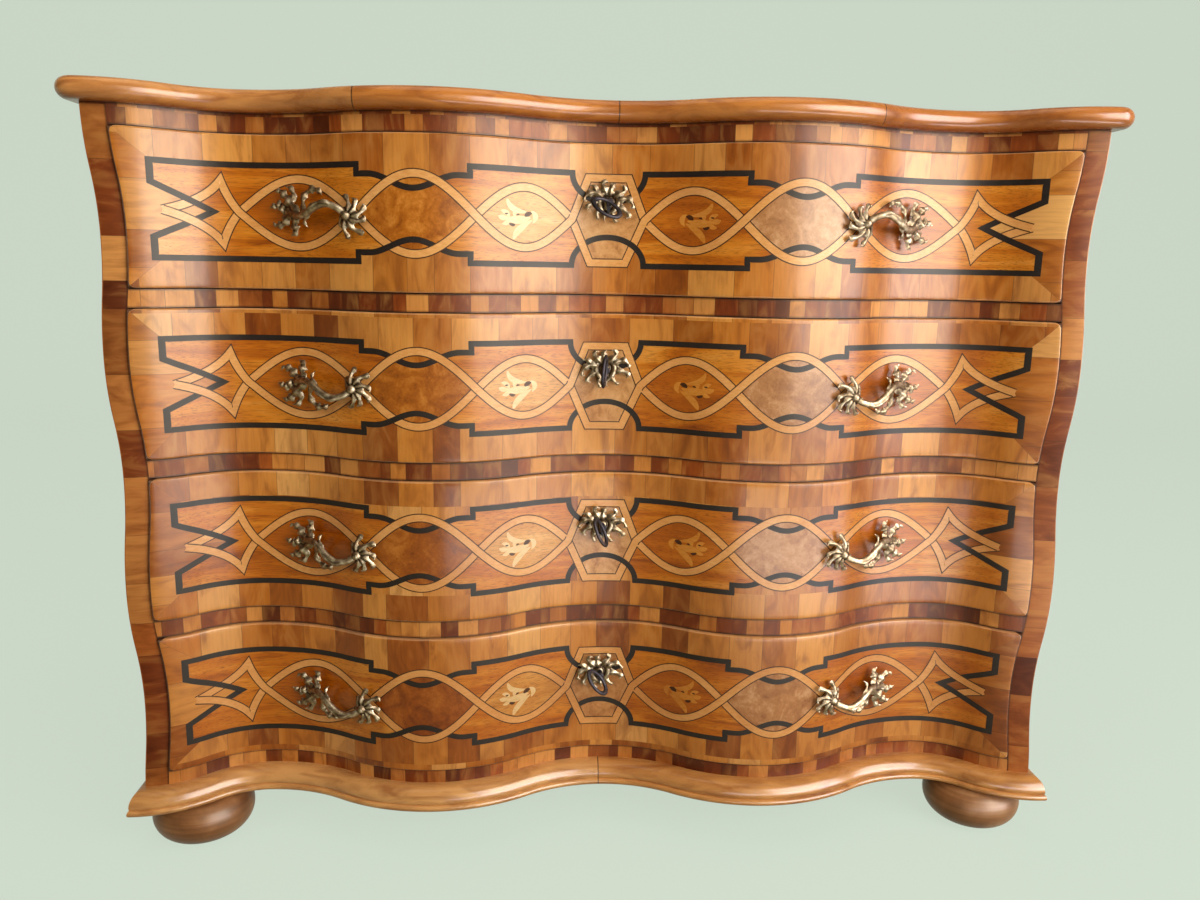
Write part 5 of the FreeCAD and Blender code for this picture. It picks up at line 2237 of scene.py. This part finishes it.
@dataclass(frozen=True)
class KeyholePlates:
    """Rococo keyhole plates of scrolls and leaves, a little different in tilt on each drawer."""

    tilts: tuple[float, float, float, float] = (-14.0, 5.0, -6.0, 8.0)
    grain: float = 0.65 * MM
    slot_out: float = 7.6 * MM
    slot_depth: float = 3 * MM
    slot_round: float = 4.2 * MM
    slot_taper: float = 2.4 * MM
    slot_reach: float = 14 * MM

    def stems(self) -> list[Stem]:
        """The casting's scrolls, about the keyhole.

        Returns:
            The stems.
        """
        rim = [
            Stem((
                (0, 12, 3, 2.6), (8 * side, 10, 4.5, 2.9), (11 * side, 2, 4.5, 2.9), (8 * side, -8, 4.5, 2.7),
                (0, -15, 3, 2.2),
            ), 0.9)
            for side in SIDES
        ]
        bed = [
            Stem(((0, 11, 1, 5), (0, 5, 1.5, 9), (0, -3, 1.5, 9), (0, -10, 1.5, 5), (0, -14, 1, 2)), 0.22),
            Stem(((0, 5, 3, 4), (0, 2, 4.5, 5), (0, -4, 4.5, 4.4), (0, -9, 3, 3)), 0.6),
        ]
        leaves = [
            Stem(((0, 8, 3, 4), (-1, 14, 6, 4.6), (0, 20, 5, 3.6), (3, 24, 6, 1.4)), 0.6, 2),
            Stem((
                (-4, 8, 3, 4), (-9, 14, 6, 4.4), (-13, 19, 5, 3.4), (-9, 23, 6, 1.8), (-5, 21, 7, 1),
            ), 0.6, 2),
            Stem(((4, 8, 3, 4), (10, 13, 6, 4.4), (15, 18, 5, 3.4), (12, 23, 6, 1.8), (8, 22, 7, 1)), 0.6, 2),
            Stem((
                (-8, 4, 3, 4), (-17, 7, 6, 4.8), (-25, 4, 5, 3.6), (-29, -3, 5, 2.2), (-25, -6, 6, 1.1),
            ), 0.6, 3),
            Stem(((-15, 7, 5, 2.8), (-21, 13, 5, 3), (-27, 14, 5, 1.2)), 0.6, 1),
            Stem(((-10, -2, 3, 3.4), (-18, -5, 5, 4), (-23, -11, 5, 2.8), (-19, -15, 6, 1.2)), 0.6, 2),
            Stem(((8, 5, 3, 4), (16, 9, 6, 4.8), (24, 9, 5, 3.6), (29, 3, 5, 2.2), (25, 0, 6, 1.1)), 0.6, 3),
            Stem(((10, -2, 3, 3.4), (19, -3, 5, 4), (27, -8, 5, 2.8), (24, -13, 6, 1.2)), 0.6, 2),
            Stem(((-5, -8, 3, 3), (-10, -14, 5, 3.2), (-8, -20, 5, 2), (-4, -20, 6, 1)), 0.6, 2),
            Stem(((5, -8, 3, 3), (9, -14, 5, 3.2), (13, -18, 5, 2.2), (18, -17, 6, 1)), 0.6, 2),
            Stem(((0, -12, 3, 3), (-1, -17, 4, 2.8), (1, -22, 4, 1.2)), 0.6, 1),
        ]
        return rim + bed + leaves

    def build(self) -> None:
        """Casts the plate once and sets one round each keyhole."""
        finish = GiltBronze("gilt_plates").material()
        dark = WroughtIron("keyhole_lining").material()
        pattern = cast("plate_pattern", self.stems(), self.grain)
        for number, tilt in zip(DRAWERS, self.tilts):
            body = "drawer_%d" % number
            low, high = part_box(body + "_escutcheon")
            key_z = (low.z + high.z) / 2
            plate = copied(pattern, body + "_keyhole_plate")
            local = points_of(plate)
            angle = math.radians(tilt)
            x = local[:, 0] * math.cos(angle) - local[:, 1] * math.sin(angle)
            z = local[:, 0] * math.sin(angle) + local[:, 1] * math.cos(angle)
            set_points(plate, stacked(x, WAVE.y(x, FACE + local[:, 2]), key_z + z))
            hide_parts(body + "_escutcheon")
            dressed(plate, finish, body)
            dressed(self.lining(body + "_keyhole", key_z), dark, body)
        removed(pattern)

    def lining(self, name: str, key_z: float) -> Piece:
        """The dark slot of the keyhole, in front of the plate's middle.

        Args:
            name: the piece's name.
            key_z: the height of the key.

        Returns:
            The closed slot.
        """

        def drop(u: Array, v: Array) -> Array:
            """The slot.

            Args:
                u: shares round.
                v: shares outwards.

            Returns:
                The points.
            """
            turn = 2 * np.pi * u
            reach = 0.5 * (1 - np.sin(turn))
            x = v * (self.slot_round - self.slot_taper * reach) * np.cos(turn)
            z = v * np.where(np.sin(turn) > 0, self.slot_round, self.slot_reach) * np.sin(turn)
            return stacked(x, WAVE.y(x, FACE + self.slot_out), key_z + z)

        piece = sheet(name, 40, 6, drop)
        turn_to(piece, (0, -1, 0))
        modify(piece, "SOLIDIFY", thickness=self.slot_depth, offset=-1.0)
        return close(piece)


@dataclass(frozen=True)
class Keys:
    """Iron keys with an oval bow, a collar and a bit."""

    wire: float = 2.1 * MM
    bow: tuple[float, float] = (17 * MM, 10.5 * MM)
    axis_drop: float = 13.5 * MM
    collar: tuple[tuple[float, float], ...] = (
        (0, 0), (3.4, 0), (4.6, 1.2), (4.6, 2.6), (3.2, 3.6), (4.2, 5), (4.2, 6), (3, 7),
    )
    shank: float = 3 * MM
    bit_size: tuple[float, float, float] = (4.0, 4.0, 13.5)
    bit_inset: float = 3.4 * MM
    bit_drop: float = 8.25 * MM
    bit_edge: float = 0.5 * MM
    turns: tuple[float, float, float, float] = (-62.0, 4.0, -24.0, -38.0)
    leans: tuple[float, float, float, float] = (48.0, 14.0, 22.0, 30.0)

    def build(self) -> None:
        """Makes one key for each drawer, its bow turned as it was left."""
        finish = WroughtIron().material()
        for number, turn, lean in zip(DRAWERS, self.turns, self.leans):
            node = "drawer_%d_key" % number
            low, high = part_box(node)
            key_z = high.z - self.axis_drop
            parts = [
                self.ring(low.y, key_z, turn, lean),
                self.rod(low.y, high.y, key_z),
                self.bit(high.y, key_z),
            ]
            key = joined("drawer_%d_iron_key" % number, parts)
            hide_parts(node)
            dressed(key, finish, "key_%d" % number)

    def ring(self, front: float, key_z: float, turn: float, lean: float) -> Piece:
        """The oval bow.

        Args:
            front: how far forward it reaches.
            key_z: the height of the key.
            turn: how far its long way is turned from upright, in degrees.
            lean: how far it is bent aside of the shank, in degrees.

        Returns:
            The closed ring.
        """
        bpy.ops.object.select_all(action="DESELECT")
        bpy.ops.mesh.primitive_torus_add(
            major_segments=56, minor_segments=16, major_radius=self.bow[1], minor_radius=self.wire
        )
        ring = bpy.context.object
        points = points_of(ring)
        angle, bent = math.radians(turn), math.radians(lean)
        wide = points[:, 1] * self.bow[0] / self.bow[1]
        from_shank = points[:, 0] - self.bow[1]
        deep = from_shank * math.cos(bent) - points[:, 2] * math.sin(bent)
        aside = from_shank * math.sin(bent) + points[:, 2] * math.cos(bent)
        x = wide * math.sin(angle) + aside * math.cos(angle)
        z = wide * math.cos(angle) - aside * math.sin(angle)
        set_points(ring, stacked(x, front + 2 * self.bow[1] + self.wire + deep, key_z + z))
        return close(ring)

    def rod(self, front: float, back: float, key_z: float) -> Piece:
        """The turned shank with its collar.

        Args:
            front: how far forward the key reaches.
            back: how far back it reaches.
            key_z: the height of the key.

        Returns:
            The closed shank.
        """
        start = front + 2 * self.bow[1] + self.wire
        length = back - start
        profile = np.concatenate([np.array(self.collar) * MM, [(self.shank, length), (0, length)]])

        def turned(u: Array, radius: Array, along: Array) -> Array:
            """The shank, by its share round and the profile's lengths."""
            turn = 2 * np.pi * u
            return stacked(radius * np.cos(turn), start + along, key_z + radius * np.sin(turn))

        return swept("shank", 24, profile, turned)

    def bit(self, back: float, key_z: float) -> Piece:
        """The bit that lifts the bolt.

        Args:
            back: how far back the key reaches.
            key_z: the height of the key.

        Returns:
            The closed bit.
        """
        bpy.ops.object.select_all(action="DESELECT")
        bpy.ops.mesh.primitive_cube_add(size=1)
        bit = bpy.context.object
        points = points_of(bit)
        middle = np.array([0, back - self.bit_inset, key_z - self.bit_drop])
        set_points(bit, points * np.array(self.bit_size) * MM + middle)
        modify(bit, "BEVEL", width=self.bit_edge, segments=2)
        return close(bit)


# Inner wood and ironwork
def dress_solids() -> None:
    """Gives the solids that stay in view their finishes."""
    level = BareSoftwood("softwood_across", (4.0, 150.0, 150.0)).material()
    deep = BareSoftwood("softwood_deep", (150.0, 4.0, 150.0)).material()
    iron = WroughtIron("lock_iron").material()
    # Painted shade: the cores of the drawer fronts, rails and stiles are dark brown, so that where they show
    # past the veneer, in the gaps and at the fronts' corners, they pass for shadow.
    gap_shade_finish = Figured("stained_edges", GAP_SHADE_TONES, polish=MATT_FILM).material()
    for name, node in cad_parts.items():
        if name.endswith(("_lock", "_bolt", "_nuts", "_key")):
            finish = iron
        elif name.endswith(("_front", "_stile", "_rail")) or name.startswith("divider_rail"):
            finish = gap_shade_finish
        elif name.endswith(("_sides", "_runners", "_guides", "_battens", "left_side", "right_side")):
            finish = deep
        else:
            finish = level
        node.data.materials.clear()
        node.data.materials.append(finish)


# Studio
GLARE = (0.88, 1.1, 1.75)


@dataclass(frozen=True)
class Lamp:
    """A soft square light that looks at the chest."""

    name: str
    place: tuple[float, float, float]
    aim: tuple[float, float, float]
    size: tuple[float, float]
    power: float
    colour: tuple[float, float, float] = (1.0, 1.0, 1.0)
    glossy: bool = True
    diffuse: bool = True

    def build(self) -> None:
        """Hangs the lamp."""
        light = bpy.data.lights.new(self.name, "AREA")
        light.shape = "RECTANGLE"
        light.size, light.size_y = self.size
        light.energy = self.power
        light.color = self.colour
        lamp = bpy.data.objects.new(self.name, light)
        lamp.location = self.place
        way = Vector(self.aim) - Vector(self.place)
        lamp.rotation_euler = way.to_track_quat("-Z", "Y").to_euler()
        lamp.visible_camera = False
        lamp.visible_glossy = self.glossy
        lamp.visible_diffuse = self.diffuse
        bpy.context.scene.collection.objects.link(lamp)


@dataclass(frozen=True)
class Studio:
    """The pale floor, the soft light and the camera."""

    camera: tuple[float, float, float] = (-0.0791, -1.3818, 0.7312)
    lens: float = 28.26
    yaw: float = 3.712
    pitch: float = 11.184
    roll: float = -1.064
    pale: Colour = srgb(207, 219, 203)
    sky: Colour = srgb(232, 230, 224)
    dim_side: float = 0.1
    bright_side: float = 0.4
    floor_glow: float = 0.9
    floor_share: float = 0.15
    floor_width: float = 36.0
    floor_front: float = 9.0
    floor_back: float = 3.0
    sweep_radius: float = 1.5
    sweep_length: float = 19.0
    sensor: float = 36.0
    lamps: tuple[Lamp, ...] = (
        Lamp("window", (2.0, -2.2, 1.4), (0, -0.25, 0.7), (2.4, 2.1), 92, (1.0, 0.985, 0.96)),
        Lamp("glare", (2.0, -2.2, 1.25), (0, -0.25, 0.7), (2.6, 2.5), 205, GLARE, diffuse=False),
        Lamp("low_glare", (0.55, -1.0, 0.12), (0.1, -0.25, 0.35), (1.5, 0.22), 10, GLARE, diffuse=False),
        Lamp("fill", (-2.4, -2.6, 1.8), (0, -0.2, 0.5), (1.6, 1.8), 22, glossy=False),
        Lamp("front", (0.5, -3.4, 1.7), (0, 0, 0.5), (0.8, 1.8), 12),
        Lamp("above", (0, -0.4, 3.4), (0, 0, 0.5), (2.5, 2.0), 24),
    )

    def build(self) -> None:
        """Sets everything round the chest."""
        self.backdrop()
        self.world()
        for lamp in self.lamps:
            lamp.build()
        self.stand_camera()
        bpy.context.scene.view_settings.view_transform = "Standard"

    def backdrop(self) -> None:
        """A floor that runs up into a wall in one sweep."""
        back, bend = self.floor_back, self.sweep_radius

        def sweep(u: Array, v: Array) -> Array:
            """The floor and the wall.

            Args:
                u: shares across.
                v: shares back.

            Returns:
                The points.
            """
            run = v * self.sweep_length - self.floor_front
            turn = np.clip((run - back) / bend, 0, math.pi / 2)
            beyond = np.maximum(run - back - bend * math.pi / 2, 0)
            y = np.minimum(run, back) + bend * np.sin(turn)
            return stacked((u - 0.5) * self.floor_width, y, bend * (1 - np.cos(turn)) + beyond)

        floor = sheet("floor", 2, 120, sweep)
        turn_to(floor, (0, -0.2, 1))
        smooth(floor)
        shader = Shader("pale_floor")
        rays = shader.node("LightPath", {}).outputs
        seen = shader.math("MAXIMUM", rays["Is Camera Ray"], rays["Is Glossy Ray"])
        seen = shader.math("MAXIMUM", seen, rays["Is Transmission Ray"])
        shader.done(
            Base_Color=tuple(self.floor_share * part for part in self.pale[:3]) + (1.0,),
            Roughness=0.9,
            Specular_IOR_Level=0.0,
            Emission_Color=self.pale,
            Emission_Strength=shader.times(seen, self.floor_glow),
        )
        floor.data.materials.append(shader.material)

    def world(self) -> None:
        """A pale light from all round, stronger from the right."""
        world = bpy.data.worlds.new("studio")
        world.use_nodes = True
        tree = world.node_tree
        background = tree.nodes["Background"]
        background.inputs["Color"].default_value = self.sky
        sides = tree.nodes.new("ShaderNodeSeparateXYZ")
        tree.links.new(tree.nodes.new("ShaderNodeTexCoord").outputs["Generated"], sides.inputs[0])
        strength = tree.nodes.new("ShaderNodeMapRange")
        limits = {"From Min": -1.0, "From Max": 1.0, "To Min": self.dim_side, "To Max": self.bright_side}
        for name, limit in limits.items():
            strength.inputs[name].default_value = limit
        tree.links.new(sides.outputs[0], strength.inputs["Value"])
        tree.links.new(strength.outputs[0], background.inputs["Strength"])
        bpy.context.scene.world = world

    def stand_camera(self) -> None:
        """Stands the camera where the photograph was taken from."""
        yaw, pitch, roll = (math.radians(angle) for angle in (self.yaw, self.pitch, self.roll))
        ahead = Vector((math.sin(yaw) * math.cos(pitch), math.cos(yaw) * math.cos(pitch), -math.sin(pitch)))
        right = Vector((math.cos(yaw), -math.sin(yaw), 0))
        down = ahead.cross(right)
        rolled_right = right * math.cos(roll) + down * math.sin(roll)
        rolled_down = down * math.cos(roll) - right * math.sin(roll)
        turn = Matrix((rolled_right, -rolled_down, -ahead)).transposed()
        data = bpy.data.cameras.new("camera")
        data.lens = self.lens
        data.sensor_width = self.sensor
        camera = bpy.data.objects.new("camera", data)
        camera.matrix_world = Matrix.Translation(self.camera) @ turn.to_4x4()
        bpy.context.scene.collection.objects.link(camera)
        bpy.context.scene.camera = camera


def main() -> None:
    """Builds the chest's looks, sub-assembly by sub-assembly."""
    logging.basicConfig(level=logging.INFO, format="%(name)s: %(message)s")
    dress_solids()
    Carcase().build()
    DrawerFront().build()
    Pulls().build()
    KeyholePlates().build()
    Keys().build()
    Studio().build()


if __name__ == "__main__":
    main()
